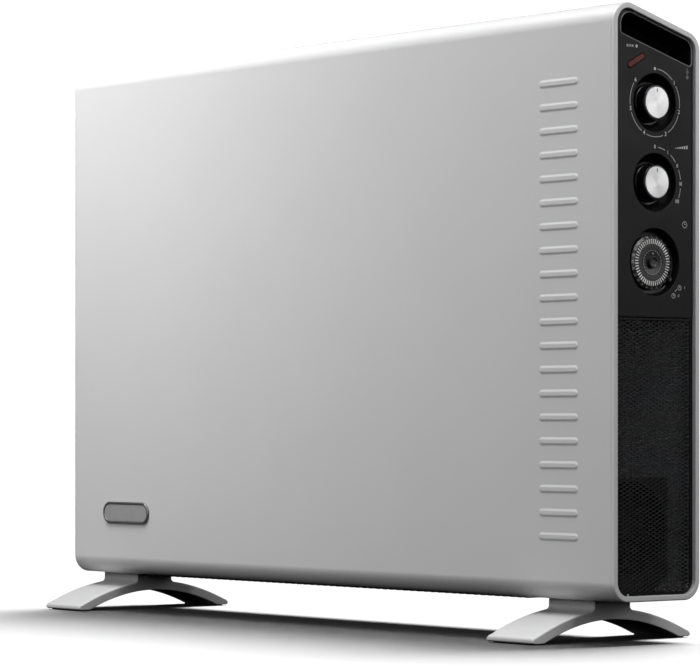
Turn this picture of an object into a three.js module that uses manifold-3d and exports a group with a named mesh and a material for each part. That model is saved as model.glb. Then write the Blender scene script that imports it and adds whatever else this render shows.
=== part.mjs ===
// A slim electric panel convector heater on two arched feet, in millimetres.
// +X runs along the casing to the control end, -Y is the front and +Z is up.
// The origin is on the floor, under the middle of the heater.
import * as THREE from "three";
import { mergeVertices } from "three/addons/utils/BufferGeometryUtils.js";
import Module from "manifold-3d";

const wasm = await Module();
wasm.setup();

// ---------------------------------------------------------------- driving dimensions

const seatGap = 0.3; // between pieces that seat on each other
const runningGap = 0.9; // between a turning piece and what it turns over

// Casing
const bodyWidth = 700;
const bodyDepth = 88;
const bodyHeight = 441;
const floorClearance = 32;
const topSlope = THREE.MathUtils.degToRad(16.5); // fall of the top towards the rear
const cornerRadius = 15;
const sheetThickness = 1;
const bendRadius = 2;
const flangeHeight = 6;
const bottomOpening = 53; // between the front and rear sheets, along Y
const topOpening = 46.6; // between the sheets, along the slope

// End frames
const rimWidth = 4.4;
const rimDepth = 2.5; // how far the rim covers the ends of the sheets, along X
const rimRound = 1.5;
const rimChamfer = 0.5;
const panelRecess = 2.6; // end panels lie this far inside the rim
const panelThickness = 2.4;
const ledgeWidth = 1.6;
const ledgeThickness = 2;
const spigotLength = 12; // from the outer face of the frame
const spigotWall = 2;

// Grilles
const grilleThickness = 2.5;
const grilleWall = 1.5;
const grilleWallHeight = 5.5;
const topGrilleDrop = 0.8; // below the sheets beside it
const topSlotRows = 5;
const topSlotColumns = 5;
const topSlotWidth = 4.4;
const topSlotPitch = 7.6; // across the slope
const topSlotBridge = 10; // between the ends of two slots
const barPitch = 26; // cross bars of the bottom grille
const barWidth = 13;
const barTopDrop = 0.8; // below the grille's floor
const barDrop = 1.2; // the bars hang this far below the casing

// Side mesh
const meshThickness = 1.5;
const meshTopHeight = 209.5; // above the underside of the casing
const meshSplit = 0.3; // between the mesh and the panel above it
const meshPitchY = 38.4;
const meshPitchZ = 21;
const meshStrand = 2.6;
const meshBorder = 3;

// Handle pocket in each end panel
const pocketMargin = 3.2; // from the edge of the panel
const pocketHeight = 14; // across the slope
const pocketDepth = 26;
const pocketWall = 1.6;
const pocketCorner = 4;
const pocketCornerSteps = 4;

// Knobs, both alike
const knobSpacing = 59; // between the centres of the three controls
const thermostatHeight = 368.8; // above the underside of the casing
const dishDiameter = 43;
const dishFloorDiameter = 33;
const dishDepth = 8.4;
const dishWall = 2;
const dishSwell = 0.6; // the dish's side bulges outwards by this at half depth
const knobBaseDiameter = 29;
const knobTopDiameter = 26.6;
const knobRound = 0.8;
const knobFlangeHeight = 1.4; // of the flared foot of the skirt
const knobFlangeSlope = 0.6;
const knobFlangeRoot = 0.4; // wider than the skirt above it
const knobTopThickness = 2; // between the spindle and the cap
const capDiameter = 23.5;
const capThickness = 1.2;
const capChamfer = 0.4;
const spindleDiameter = 6;
const spindleReach = 8; // into the switch behind it

// Timer
const timerDishDiameter = 50;
const timerFloorDiameter = 47;
const timerDishDepth = 6.4;
const timerDialDiameter = 40.5;
const timerDialEdge = 1.4;
const timerDialThickness = 2.8;
const timerDialBevel = 0.5; // left flat inside the sloping edge
const timerDialDish = 0.6; // fall of the dial's face towards the boss
const segmentCount = 48;
const segmentOuterDiameter = 34.6;
const segmentInnerDiameter = 28.4;
const segmentDepth = 1.9;
const segmentHeight = 1.1;
const segmentShare = 0.6; // of the pitch that each segment's face takes
const timerBossDiameter = 9;
const timerBossHeight = 1.8;
const timerBossRim = 0.8;
const timerBossCup = 2; // from the boss's side to the flat of its hollow
const leverAngle = THREE.MathUtils.degToRad(-35); // of the lever at rest, from +Y
const leverTravel = THREE.MathUtils.degToRad(14);
const leverTabWidth = 3;
const leverTabDepth = 1.8;
const leverThickness = 1.2;
const leverHubDiameter = 13;

// Indicator lamp
const lampY = -18.8;
const lampHeight = 398.8; // above the underside of the casing
const lampLength = 19;
const lampWidth = 4.4;
const lampTilt = THREE.MathUtils.degToRad(28.8);
const lampProud = 0.4;
const lampLensDepth = 4;

// Switches and lamp holder behind the control panel
const thermostatBodySize = 28;
const thermostatBodyDepth = 18;
const selectorBodySize = 30;
const selectorBodyDepth = 24;
const timerBodySize = 44;
const timerBodyDepth = 26;
const timerPostSize = 6;
const thermostatBushDiameter = 14;
const selectorBushDiameter = 16;
const switchBushHeight = 1.5; // in front of the housing
const switchCorner = 0.12; // of the housing's size
const lampHolderDepth = 12;

// Badge and pressed ribs of the front panel
const badgeInset = 80.4; // from the left end of the casing to the middle of the badge
const badgeHeight = 53.5; // above the underside of the casing
const badgeLength = 68;
const badgeWidth = 19;
const badgeThickness = 1.6;
const badgeSide = 1; // height of the upright edge
const badgeRim = 1.4; // width of the raised rim
const badgeRimBevel = 0.8;
const badgeFieldDepth = 0.5;
const ribCount = 20;
const ribInset = 60; // from the control end of the casing to the middle of the ribs
const ribLength = 44;
const ribWidth = 6.4;
const ribRise = 0.9;
const ribSlope = 1;
const ribFirstHeight = 47; // lowest rib, above the underside of the casing
const ribPitch = 17.8;

// Rear panel
const rearSlotRows = 2;
const rearSlotLength = 78;
const rearSlotWidth = 5;
const rearSlotPitchX = 92;
const rearSlotPitchZ = 14;
const rearSlotHeight = 52; // lowest row, above the underside of the casing
const rearSlotInset = 45; // from the left end of the casing to the first slot
const rearSlotMargin = 110; // at least this much from the last slot to the control end
const rearScrewInset = 7.4; // from the outer face of the end frame
const rearScrewLow = 50;
const rearScrewHigh = 372;
const rearScrewDiameter = 3;
const rearScrewHeadDiameter = 6;
const rearScrewHeadHeight = 1.6;
const rearScrewLength = 8;

// Feet
const leftFootInset = 35; // from the left end of the casing to the middle of the foot
const rightFootInset = 74; // from the control end
const footNeckWidth = 51.2;
const footNeckDepth = 36;
const footFilletRadius = 4;
const footTipWidth = 62;
const footSpan = 160;
const footArmTop = 23.5; // top of the arm where it leaves the neck
const footArmFall = 0.235; // slope of the arm where it leaves the neck
const footArmRadius = 390;
const footArchHeight = 16.6;
const footArchSpan = 138;
const footLandHeight = 1; // flat underside at the tips
const footTipRound = 2.5;
const footHeelRound = 1.5;
const footEdge = 1;
const padLength = 48;
const padWidth = 7;
const padThickness = 2.5;
const padInset = 4.6; // from the tip of the foot to the pad
const footScrewSpacing = 28;
const footScrewDiameter = 5;
const footScrewHeadDiameter = 9.5;
const footScrewHeadHeight = 3;
const footScrewHeadChamfer = 0.8;
const footScrewHeadLevel = 19; // underside of the heads above the floor
const footScrewEnd = 42;
const footBossDiameter = 11;
const footBossEnd = 44;

// Heating elements and what carries them
const leftBracketInset = 66; // from the left end of the casing
const rightBracketInset = 122; // from the control end
const bracketThickness = 1.2;
const bracketHalfWidth = 40.3;
const bracketTop = 140; // above the underside of the casing
const bracketShoulder = 9; // height of the narrow foot of each bracket
const bracketFlare = 10; // over which a bracket widens above its foot
const elementHeight = 84; // above the underside of the casing
const elementSpacing = 30;
const rodDiameter = 8;
const rodOverhang = 12;
const finCount = 5; // above the web, and as many below it
const finThickness = 1.2;
const finWidth = 24;
const finHeight = 46;
const webThickness = 3;
const finClearance = 12; // from a bracket to the end of a bank of fins
const bushDiameter = 14;
const bushFlangeDiameter = 19;
const bushFlangeThickness = 2;
const bushLength = 8;
const shieldThickness = 0.8;
const shieldBottom = 24; // above the underside of the casing
const shieldTop = 300;
const shieldFlange = 7;

// Fan
const fanInset = 40; // from the control end to the middle of the shroud
const fanHeight = 54; // axis above the underside of the casing
const shroudOuterDiameter = 74;
const shroudInnerDiameter = 70;
const shroudLength = 24;
const fanPlateThickness = 2;
const fanFootHalfWidth = 24;
const fanFootHeight = 6;
const fanShoulderHeight = 14;
const fanHubDiameter = 30;
const strutCount = 3;
const strutWidth = 5;
const strutThickness = 2;
const motorDiameter = 36;
const motorLength = 24;
const motorEdge = 2;
const motorShaftDiameter = 3;
const motorShaftReach = 14;
const wheelDiameter = 66;
const wheelHubDiameter = 24;
const wheelHubLength = 14;
const wheelHubEdge = 2;
const bladeCount = 7;
const bladeThickness = 1.2;
const bladeChord = 19;
const bladePitch = THREE.MathUtils.degToRad(38);

// Small electrical parts
const cutoutDiameter = 16;
const cutoutDepth = 9;
const cutoutPlateLength = 26;
const cutoutPlateThickness = 1;
const cutoutHeight = 122; // above the underside of the casing
const terminalLength = 32;
const terminalDepth = 15;
const terminalHeight = 14;
const terminalInset = 104; // from the control end
const terminalWays = 3;
const terminalSlotWidth = 1.6;
const terminalSlotDepth = 4;
const glandInset = 88; // from the control end
const glandHeight = 30; // above the underside of the casing
const glandDiameter = 12;
const glandBore = 7;
const glandFlangeDiameter = 18;
const glandFlangeThickness = 2;
const glandRound = 0.6;
const glandReach = 9; // inside the rear panel

// Facets
const cornerSteps = 4;
const roundSides = 24;
const smallSides = 12;
const rodSides = 8;

// ---------------------------------------------------------------- derived places

const frameEnd = bodyWidth / 2;
const underside = floorClearance;
const ridge = underside + bodyHeight;
const halfDepth = bodyDepth / 2;
const panelFace = -panelRecess; // end pieces are measured outwards from the rim's face
const panelBack = panelFace - panelThickness;
const ledgeFace = panelBack - seatGap;
const ledgeBack = ledgeFace - ledgeThickness;
const spigotInset = sheetThickness + seatGap;
const panelInset = rimWidth + seatGap;
const sheetEnd = frameEnd - rimDepth - seatGap;
const grilleEnd = frameEnd - spigotLength - 2 * seatGap;
const grilleFloor = underside + grilleThickness; // upper face of the bottom grille
const thermostatZ = underside + thermostatHeight;
const selectorZ = thermostatZ - knobSpacing;
const timerZ = selectorZ - knobSpacing;
const meshTop = underside + meshTopHeight;
const dishFloor = panelFace - dishDepth;
const dishBack = dishFloor - dishWall;
const timerFloor = panelFace - timerDishDepth;
const timerBack = timerFloor - dishWall;
const elementZ = underside + elementHeight;
const fanZ = underside + fanHeight;
const badgeX = badgeInset - frameEnd;
const ribX = frameEnd - ribInset;
const footPlaces = { left: leftFootInset - frameEnd, right: frameEnd - rightFootInset };
const leftBracketX = leftBracketInset - frameEnd;
const rightBracketX = frameEnd - rightBracketInset;
const bracketPositions = {
  left: leftBracketX,
  middle: (leftBracketX + rightBracketX) / 2,
  right: rightBracketX,
};
const fanX = frameEnd - fanInset;
const terminalX = frameEnd - terminalInset;
const glandX = frameEnd - glandInset;

// ---------------------------------------------------------------- materials

function finish(color, roughness, metalness) {
  return new THREE.MeshStandardMaterial({ color, roughness, metalness });
}

const silverPaint = finish(0xb9babb, 0.45, 0.2);
const rimPaint = finish(0xb4b6b7, 0.4, 0.1);
const footPaint = finish(0xd4d5d6, 0.35, 0.1);
const blackMoulding = finish(0x1c1c1d, 0.45, 0);
const blackMesh = finish(0x0d0d0e, 0.5, 0.3);
const blackKnob = finish(0x0b0b0c, 0.3, 0);
const brushedCap = finish(0xd9dadb, 0.3, 0.9);
const badgeMetal = finish(0xa9abad, 0.35, 0.8);
const dialPlastic = finish(0x2b2b2c, 0.4, 0);
const segmentPlastic = finish(0xd5d5d2, 0.5, 0);
const lampRed = finish(0x6a1c20, 0.2, 0);
const rubber = finish(0x161616, 0.9, 0);
const steel = finish(0x8d9093, 0.4, 0.9);
const galvanised = finish(0x9fa2a4, 0.5, 0.7);
const aluminium = finish(0xbfc2c4, 0.45, 0.8);
const ceramic = finish(0xe6e2d8, 0.6, 0);
const switchPlastic = finish(0xcfcabc, 0.55, 0);

// ---------------------------------------------------------------- shape helpers

function arc(x, y, radius, from, to, steps) {
  const points = [];
  for (let i = 0; i <= steps; i++) {
    const angle = from + ((to - from) * i) / steps;
    points.push([x + radius * Math.cos(angle), y + radius * Math.sin(angle)]);
  }
  return points;
}

function circle(x, y, radius, sides) {
  return arc(x, y, radius, 0, 2 * Math.PI, sides).slice(0, sides);
}

function rectangle(x0, y0, x1, y1) {
  return [
    [x0, y0],
    [x1, y0],
    [x1, y1],
    [x0, y1],
  ];
}

// A slot with round ends: length and width overall, turned by angle.
function slot(x, y, length, width, angle, steps) {
  const reach = (length - width) / 2;
  const dx = reach * Math.cos(angle);
  const dy = reach * Math.sin(angle);
  return [
    ...arc(x + dx, y + dy, width / 2, angle - Math.PI / 2, angle + Math.PI / 2, steps),
    ...arc(x - dx, y - dy, width / 2, angle + Math.PI / 2, angle + 1.5 * Math.PI, steps),
  ];
}

function pathOf(points, target) {
  target.setFromPoints(points.map(([x, y]) => new THREE.Vector2(x, y)));
  return target;
}

// A prism on an outline in the local XY plane, between two heights on local Z.
function prism(outline, from, to, holes = []) {
  const shape = pathOf(outline, new THREE.Shape());
  shape.holes = holes.map((hole) => pathOf(hole, new THREE.Path()));
  const geometry = new THREE.ExtrudeGeometry(shape, {
    depth: to - from,
    bevelEnabled: false,
  });
  return geometry.translate(0, 0, from);
}

// A turned piece about local Z. The profile lists [radius, height] and starts and ends on the
// axis, or closes on itself.
function turned(profile, sides) {
  const points = profile.map(([radius, height]) => new THREE.Vector2(radius, height));
  return new THREE.LatheGeometry(points, sides).rotateX(Math.PI / 2);
}

function rod(radius, from, to, sides) {
  return turned(
    [
      [0, from],
      [radius, from],
      [radius, to],
      [0, to],
    ],
    sides,
  );
}

function geometryFrom(positions, indices) {
  const geometry = new THREE.BufferGeometry();
  geometry.setAttribute("position", new THREE.Float32BufferAttribute(positions.flat(), 3));
  geometry.setIndex(indices);
  return geometry;
}

// A closed solid through rings of equal length. With loop set, the last ring joins the first,
// otherwise the first and last rings are filled.
function loft(rings, loop = false) {
  const sides = rings[0].length;
  const indices = [];
  const spans = loop ? rings.length : rings.length - 1;
  for (let i = 0; i < spans; i++) {
    const here = i * sides;
    const next = ((i + 1) % rings.length) * sides;
    for (let j = 0; j < sides; j++) {
      const k = (j + 1) % sides;
      indices.push(here + j, here + k, next + k, here + j, next + k, next + j);
    }
  }
  if (!loop) {
    const last = (rings.length - 1) * sides;
    for (let j = 1; j < sides - 1; j++) {
      indices.push(0, j + 1, j, last, last + j, last + j + 1);
    }
  }
  return geometryFrom(rings.flat(), indices);
}

// ---------------------------------------------------------------- solid booleans

function solidOf(geometry) {
  const bare = geometry.clone();
  bare.deleteAttribute("normal");
  bare.deleteAttribute("uv");
  const merged = mergeVertices(bare, 1e-4);
  const triVerts = new Uint32Array(merged.index.array);
  const vertProperties = merged.attributes.position.array;
  return new wasm.Manifold(new wasm.Mesh({ numProp: 3, vertProperties, triVerts }));
}

function geometryOf(solid) {
  const mesh = solid.getMesh();
  const geometry = new THREE.BufferGeometry();
  geometry.setAttribute("position", new THREE.BufferAttribute(mesh.vertProperties, 3));
  geometry.setIndex(new THREE.BufferAttribute(mesh.triVerts, 1));
  return geometry;
}

function join(...geometries) {
  return geometryOf(geometries.map(solidOf).reduce((whole, next) => whole.add(next)));
}

function cut(geometry, ...tools) {
  return geometryOf(tools.map(solidOf).reduce((rest, tool) => rest.subtract(tool), solidOf(geometry)));
}

function common(geometry, other) {
  return geometryOf(solidOf(geometry).intersect(solidOf(other)));
}

// ---------------------------------------------------------------- scene graph

const heater = new THREE.Group();
heater.name = "panel_convector_heater";

// Pieces drawn as sections lie in this group: local X is Y, local Y is Z and local Z is X.
const lengthwise = new THREE.Group();
lengthwise.quaternion.setFromRotationMatrix(
  new THREE.Matrix4().makeBasis(
    new THREE.Vector3(0, 1, 0),
    new THREE.Vector3(0, 0, 1),
    new THREE.Vector3(1, 0, 0),
  ),
);
heater.add(lengthwise);

function subgroup(parent, x, y, z) {
  const group = new THREE.Group();
  group.position.set(x, y, z);
  parent.add(group);
  return group;
}

// The two end faces: local Z is 0 on the outer face of each end frame and points outwards.
const rightEnd = subgroup(lengthwise, 0, 0, frameEnd);

function addPiece(parent, name, geometry, material) {
  const mesh = new THREE.Mesh(geometry, material);
  mesh.name = name;
  parent.add(mesh);
  return mesh;
}

// ---------------------------------------------------------------- casing outline

const ridgeCentre = [-halfDepth + cornerRadius, ridge - cornerRadius];
const rearTopCentre = [
  halfDepth - cornerRadius,
  ridgeCentre[1] - (bodyDepth - 2 * cornerRadius) * Math.tan(topSlope),
];
const frontLowCentre = [-halfDepth + cornerRadius, underside + cornerRadius];
const rearLowCentre = [halfDepth - cornerRadius, underside + cornerRadius];
const slopeNormal = Math.PI / 2 - topSlope;

// The casing's end outline in Y and Z, moved inwards by inset, counterclockwise.
function outline(inset) {
  const radius = cornerRadius - inset;
  return [
    ...arc(...frontLowCentre, radius, Math.PI, 1.5 * Math.PI, cornerSteps),
    ...arc(...rearLowCentre, radius, 1.5 * Math.PI, 2 * Math.PI, cornerSteps),
    ...arc(...rearTopCentre, radius, 0, slopeNormal, cornerSteps),
    ...arc(...ridgeCentre, radius, slopeNormal, Math.PI, cornerSteps),
  ];
}

// A point on the sloping top: distance along it from above the ridge's centre, and depth
// below it.
function onSlope(along, below) {
  const outwards = cornerRadius - below;
  return [
    ridgeCentre[0] + along * Math.cos(topSlope) + outwards * Math.sin(topSlope),
    ridgeCentre[1] - along * Math.sin(topSlope) + outwards * Math.cos(topSlope),
  ];
}

const slopeLength = (bodyDepth - 2 * cornerRadius) / Math.cos(topSlope);
const frontLip = (slopeLength - topOpening) / 2;
const rearLip = (slopeLength + topOpening) / 2;

// ---------------------------------------------------------------- front and rear sheets

// Points of a bend with the direction that faces outwards at each.
function bend(centre, radius, from, to, steps) {
  return arc(...centre, radius, from, to, steps).map((point, i) => [
    point,
    from + ((to - from) * i) / steps,
  ]);
}

// A sheet whose outer face follows the path of [point, outward angle].
function sheetSection(path) {
  const outer = path.map(([point]) => point);
  const inner = path.map(([[y, z], angle]) => [
    y - sheetThickness * Math.cos(angle),
    z - sheetThickness * Math.sin(angle),
  ]);
  return [...outer, ...inner.reverse()];
}

function frontSection() {
  const lip = -bottomOpening / 2;
  const down = -Math.PI / 2;
  const lipBend = [lip - bendRadius, underside + bendRadius];
  const topBend = onSlope(frontLip - bendRadius, bendRadius);
  return sheetSection([
    [[lip, underside + flangeHeight], 0],
    ...bend(lipBend, bendRadius, 0, down, 3),
    ...bend(frontLowCentre, cornerRadius, down, -Math.PI, 2 * cornerSteps),
    ...bend(ridgeCentre, cornerRadius, Math.PI, slopeNormal, 2 * cornerSteps),
    ...bend(topBend, bendRadius, slopeNormal, -topSlope, 3),
    [onSlope(frontLip, flangeHeight), -topSlope],
  ]);
}

function rearSection() {
  const lip = bottomOpening / 2;
  const down = -Math.PI / 2;
  const lipBend = [lip + bendRadius, underside + bendRadius];
  const topBend = onSlope(rearLip + bendRadius, bendRadius);
  return sheetSection([
    [onSlope(rearLip, flangeHeight), Math.PI - topSlope],
    ...bend(topBend, bendRadius, Math.PI - topSlope, slopeNormal, 3),
    ...bend(rearTopCentre, cornerRadius, slopeNormal, 0, 2 * cornerSteps),
    ...bend(rearLowCentre, cornerRadius, 0, down, 2 * cornerSteps),
    ...bend(lipBend, bendRadius, down, -Math.PI, 3),
    [[lip, underside + flangeHeight], -Math.PI],
  ]);
}

// The flanges stop short of the end frames' spigots.
function clearOfSpigots(sheet) {
  const hollow = outline(sheetThickness);
  return cut(
    sheet,
    prism(hollow, grilleEnd, frameEnd),
    prism(hollow, -frameEnd, -grilleEnd),
  );
}

// A pressed rib of the front panel, with sloping sides: rings from the sheet outwards.
function pressedRib(height) {
  const ring = (depth, shrink) =>
    slot(ribX, height, ribLength - 2 * shrink, ribWidth - 2 * shrink, 0, 2).map(([x, z]) => [
      -halfDepth - depth,
      z,
      x,
    ]);
  return loft([ring(-sheetThickness / 2, 0), ring(0, 0), ring(ribRise, ribSlope)]);
}

function frontPanel() {
  const sheet = clearOfSpigots(prism(frontSection(), -sheetEnd, sheetEnd));
  const ribs = [];
  for (let i = 0; i < ribCount; i++) {
    ribs.push(pressedRib(underside + ribFirstHeight + i * ribPitch));
  }
  return join(sheet, ...ribs);
}

// A round tool or piece that points along Y, in the lengthwise group.
function acrossDepth(geometry, y, z, x) {
  return geometry.rotateY(Math.PI / 2).translate(y, z, x);
}

const rearScrewPlaces = [];
for (const side of [-1, 1]) {
  for (const height of [rearScrewLow, rearScrewHigh]) {
    rearScrewPlaces.push({ side, x: side * (frameEnd - rearScrewInset), z: underside + height });
  }
}

function rearScrewHole({ x, z }) {
  const radius = rearScrewDiameter / 2 + seatGap;
  return acrossDepth(rod(radius, -cornerRadius, cornerRadius, smallSides), halfDepth, z, x);
}

function rearPanel() {
  const sheet = clearOfSpigots(prism(rearSection(), -sheetEnd, sheetEnd));
  const tools = rearScrewPlaces.map(rearScrewHole);
  const firstSlot = rearSlotInset - frameEnd;
  const slotSpan = bodyWidth - rearSlotInset - rearSlotMargin;
  const columns = Math.floor((slotSpan - rearSlotLength) / rearSlotPitchX) + 1;
  for (let row = 0; row < rearSlotRows; row++) {
    const z = underside + rearSlotHeight + row * rearSlotPitchZ;
    const hole = rectangle(
      halfDepth - 2 * sheetThickness,
      z - rearSlotWidth / 2,
      halfDepth + sheetThickness,
      z + rearSlotWidth / 2,
    );
    for (let column = 0; column < columns; column++) {
      const x = firstSlot + column * rearSlotPitchX;
      tools.push(prism(hole, x, x + rearSlotLength));
    }
  }
  const glandHole = rod(glandDiameter / 2 + seatGap, -sheetThickness * 2, sheetThickness * 2, smallSides);
  tools.push(acrossDepth(glandHole, halfDepth, underside + glandHeight, glandX));
  return cut(sheet, ...tools);
}

addPiece(lengthwise, "front_panel", frontPanel(), silverPaint);
addPiece(lengthwise, "rear_panel", rearPanel(), silverPaint);

function rearScrew() {
  const outside = seatGap + rearScrewHeadHeight;
  const shank = rearScrewDiameter / 2;
  return turned(
    [
      [0, -rearScrewLength],
      [shank, -rearScrewLength],
      [shank, seatGap],
      [rearScrewHeadDiameter / 2, seatGap],
      [rearScrewHeadDiameter / 3, outside],
      [0, outside],
    ],
    rodSides,
  );
}

for (const place of rearScrewPlaces) {
  const end = place.side < 0 ? "left" : "right";
  const level = place.z < underside + bodyHeight / 2 ? "lower" : "upper";
  const screw = acrossDepth(rearScrew(), halfDepth, place.z, place.x);
  addPiece(lengthwise, `rear_screw_${end}_${level}`, screw, steel);
}

// ---------------------------------------------------------------- end frames

// The frame's section, as inset from the casing outline and distance from the outer face.
function frameSection() {
  const round = arc(rimRound, -rimRound, rimRound, Math.PI, Math.PI / 2, 2);
  return [
    [0, -rimDepth],
    ...round,
    [rimWidth - rimChamfer, 0],
    [rimWidth, -rimChamfer],
    [rimWidth, ledgeFace],
    [rimWidth + ledgeWidth, ledgeFace],
    [rimWidth + ledgeWidth, ledgeBack],
    [spigotInset + spigotWall, ledgeBack],
    [spigotInset + spigotWall, -spigotLength],
    [spigotInset, -spigotLength],
    [spigotInset, -rimDepth],
  ];
}

// The section swept round the casing outline. side is 1 at the right end and -1 at the left.
function endFrame(side) {
  const rings = frameSection().map(([inset, height]) =>
    outline(inset).map(([y, z]) => [y, z, side * (frameEnd + height)]),
  );
  const frame = loft(side > 0 ? rings : rings.reverse(), true);
  const holes = rearScrewPlaces.filter((place) => place.side === side).map(rearScrewHole);
  return cut(frame, ...holes);
}

addPiece(lengthwise, "right_end_frame", endFrame(1), rimPaint);
addPiece(lengthwise, "left_end_frame", endFrame(-1), rimPaint);

// ---------------------------------------------------------------- end panels

// The slice of the end panel outline between two heights, as a solid.
function endSlice(inset, low, high, from, to) {
  const band = rectangle(-bodyDepth, low, bodyDepth, high);
  return common(prism(outline(inset), from, to), prism(band, from - 1, to + 1));
}

// The height at y of a line parallel to the sloping top, a distance below it.
function slopeHeight(y, below) {
  const fall = (y - ridgeCentre[0]) * Math.tan(topSlope);
  return ridgeCentre[1] - fall + (cornerRadius - below) / Math.cos(topSlope);
}

// The outline of the handle pocket, grown outwards by wall. It follows the top of the panel,
// and its lower edge runs parallel to the slope.
function pocketOutline(wall) {
  const inset = panelInset + pocketMargin - wall;
  const radius = cornerRadius - inset;
  const lowRadius = pocketCorner + wall;
  const side = halfDepth - inset - lowRadius;
  const low = panelInset + pocketMargin + pocketHeight - pocketCorner;
  const frontLow = [-side, slopeHeight(-side, low)];
  const rearLow = [side, slopeHeight(side, low)];
  const turn = slopeNormal - Math.PI;
  return [
    ...arc(...frontLow, lowRadius, -Math.PI, turn, pocketCornerSteps),
    ...arc(...rearLow, lowRadius, turn, 0, pocketCornerSteps),
    ...arc(...rearTopCentre, radius, 0, slopeNormal, cornerSteps),
    ...arc(...ridgeCentre, radius, slopeNormal, Math.PI, cornerSteps),
  ];
}

function pocketShell() {
  return prism(pocketOutline(pocketWall), panelFace - pocketDepth, panelFace);
}

function pocketHollow() {
  return prism(pocketOutline(0), panelFace - pocketDepth + pocketWall, panelFace + 1);
}

function leftEndPanel() {
  const plate = endSlice(panelInset, meshTop + meshSplit, ridge, panelBack, panelFace);
  return cut(join(plate, pocketShell()), pocketHollow());
}

// A recess for a knob or dial: its shell behind the panel and its hollow.
function dishShell(diameter, floorDiameter, depth) {
  const back = panelFace - depth - dishWall;
  return turned(
    [
      [0, back],
      [floorDiameter / 2 + dishWall, back],
      [diameter / 2 + dishWall, panelBack + 1],
      [0, panelBack + 1],
    ],
    roundSides,
  );
}

function dishHollow(diameter, floorDiameter, depth) {
  const floor = panelFace - depth;
  const radius = diameter / 2;
  const middle = (radius + floorDiameter / 2) / 2 + dishSwell;
  return turned(
    [
      [0, floor],
      [floorDiameter / 2, floor],
      [middle, floor + depth / 2],
      [radius, panelFace],
      [radius, panelFace + 1],
      [0, panelFace + 1],
    ],
    roundSides,
  );
}

// The curved slot that the timer lever's tab moves in.
function leverSlot() {
  const halfWidth = leverTabDepth / 2 + seatGap;
  const margin = (leverTabWidth / 2 + seatGap) / leverRadius;
  const from = leverAngle - leverTravel - margin;
  const to = leverAngle + margin;
  const edge = [
    ...arc(0, 0, leverRadius + halfWidth, from, to, 6),
    ...arc(0, 0, leverRadius - halfWidth, to, from, 6),
  ];
  return prism(edge, timerBack - 1, timerFloor + 1);
}

const leverRadius = timerDialDiameter / 2 + seatGap + leverTabDepth / 2;
const lampZ = underside + lampHeight;

function lampOutline(growth) {
  const length = lampLength + 2 * growth;
  const width = lampWidth + 2 * growth;
  return slot(lampY, lampZ, length, width, lampTilt, 6);
}

function controlPanel() {
  const plate = endSlice(panelInset, meshTop + meshSplit, ridge, panelBack, panelFace);
  const dish = [dishDiameter, dishFloorDiameter, dishDepth];
  const timerDish = [timerDishDiameter, timerFloorDiameter, timerDishDepth];
  const bore = spindleDiameter / 2 + seatGap;
  const body = join(
    plate,
    pocketShell(),
    dishShell(...dish).translate(0, thermostatZ, 0),
    dishShell(...dish).translate(0, selectorZ, 0),
    dishShell(...timerDish).translate(0, timerZ, 0),
  );
  return cut(
    body,
    pocketHollow(),
    dishHollow(...dish).translate(0, thermostatZ, 0),
    dishHollow(...dish).translate(0, selectorZ, 0),
    dishHollow(...timerDish).translate(0, timerZ, 0),
    prism(circle(0, thermostatZ, bore, smallSides), dishBack - 1, panelFace),
    prism(circle(0, selectorZ, bore, smallSides), dishBack - 1, panelFace),
    prism(circle(0, timerZ, bore, smallSides), timerBack - 1, panelFace),
    leverSlot().translate(0, timerZ, 0),
    prism(lampOutline(seatGap), panelBack - 1, panelFace + 1),
  );
}

addPiece(rightEnd, "control_panel", controlPanel(), blackMoulding);

// The left end repeats the right one in a mirror: the same section, facing the other way.
function mirrored(geometry) {
  const flipped = geometry.clone();
  flipped.scale(1, 1, -1);
  const index = flipped.index.array;
  for (let i = 0; i < index.length; i += 3) {
    [index[i + 1], index[i + 2]] = [index[i + 2], index[i + 1]];
  }
  return flipped.translate(0, 0, -frameEnd);
}

addPiece(lengthwise, "left_end_panel", mirrored(leftEndPanel()), blackMoulding);

// ---------------------------------------------------------------- side mesh

// Expanded metal: staggered diamonds inside a plain border.
function sideMesh() {
  const back = panelBack;
  const front = panelBack + meshThickness;
  const plate = endSlice(panelInset, underside, meshTop, back, front);
  const window = endSlice(panelInset + meshBorder, underside, meshTop - meshBorder, back - 2, front + 2);
  const share = 1 - meshStrand * Math.hypot(1 / meshPitchY, 1 / meshPitchZ);
  const halfY = (share * meshPitchY) / 2;
  const halfZ = (share * meshPitchZ) / 2;
  const middle = (underside + meshTop) / 2;
  const rows = Math.ceil(meshTopHeight / meshPitchZ);
  const columns = Math.ceil(bodyDepth / meshPitchY);
  let holes = null;
  for (let row = -rows; row <= rows; row++) {
    for (let column = -columns; column <= columns; column++) {
      const y = (column + (row % 2 ? 0.5 : 0)) * meshPitchY;
      const z = middle + (row * meshPitchZ) / 2;
      const reach = panelInset + meshBorder;
      const outside = Math.abs(y) > halfDepth - reach + halfY / 2;
      const beyond = Math.abs(z - middle) > meshTopHeight / 2 - reach + halfZ / 2;
      if (outside || beyond) continue;
      const diamond = prism(circle(0, 0, 1, 4), back - 1, front + 1).scale(halfY, halfZ, 1);
      const hole = solidOf(diamond.translate(y, z, 0));
      holes = holes ? holes.add(hole) : hole;
    }
  }
  return geometryOf(solidOf(plate).subtract(holes.intersect(solidOf(window))));
}

addPiece(rightEnd, "right_side_mesh", sideMesh(), blackMesh);
addPiece(lengthwise, "left_side_mesh", mirrored(sideMesh()), blackMesh);

// ---------------------------------------------------------------- knobs

const thermostat = subgroup(rightEnd, 0, thermostatZ, 0);
const selector = subgroup(rightEnd, 0, selectorZ, 0);
const timer = subgroup(rightEnd, 0, timerZ, 0);

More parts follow.
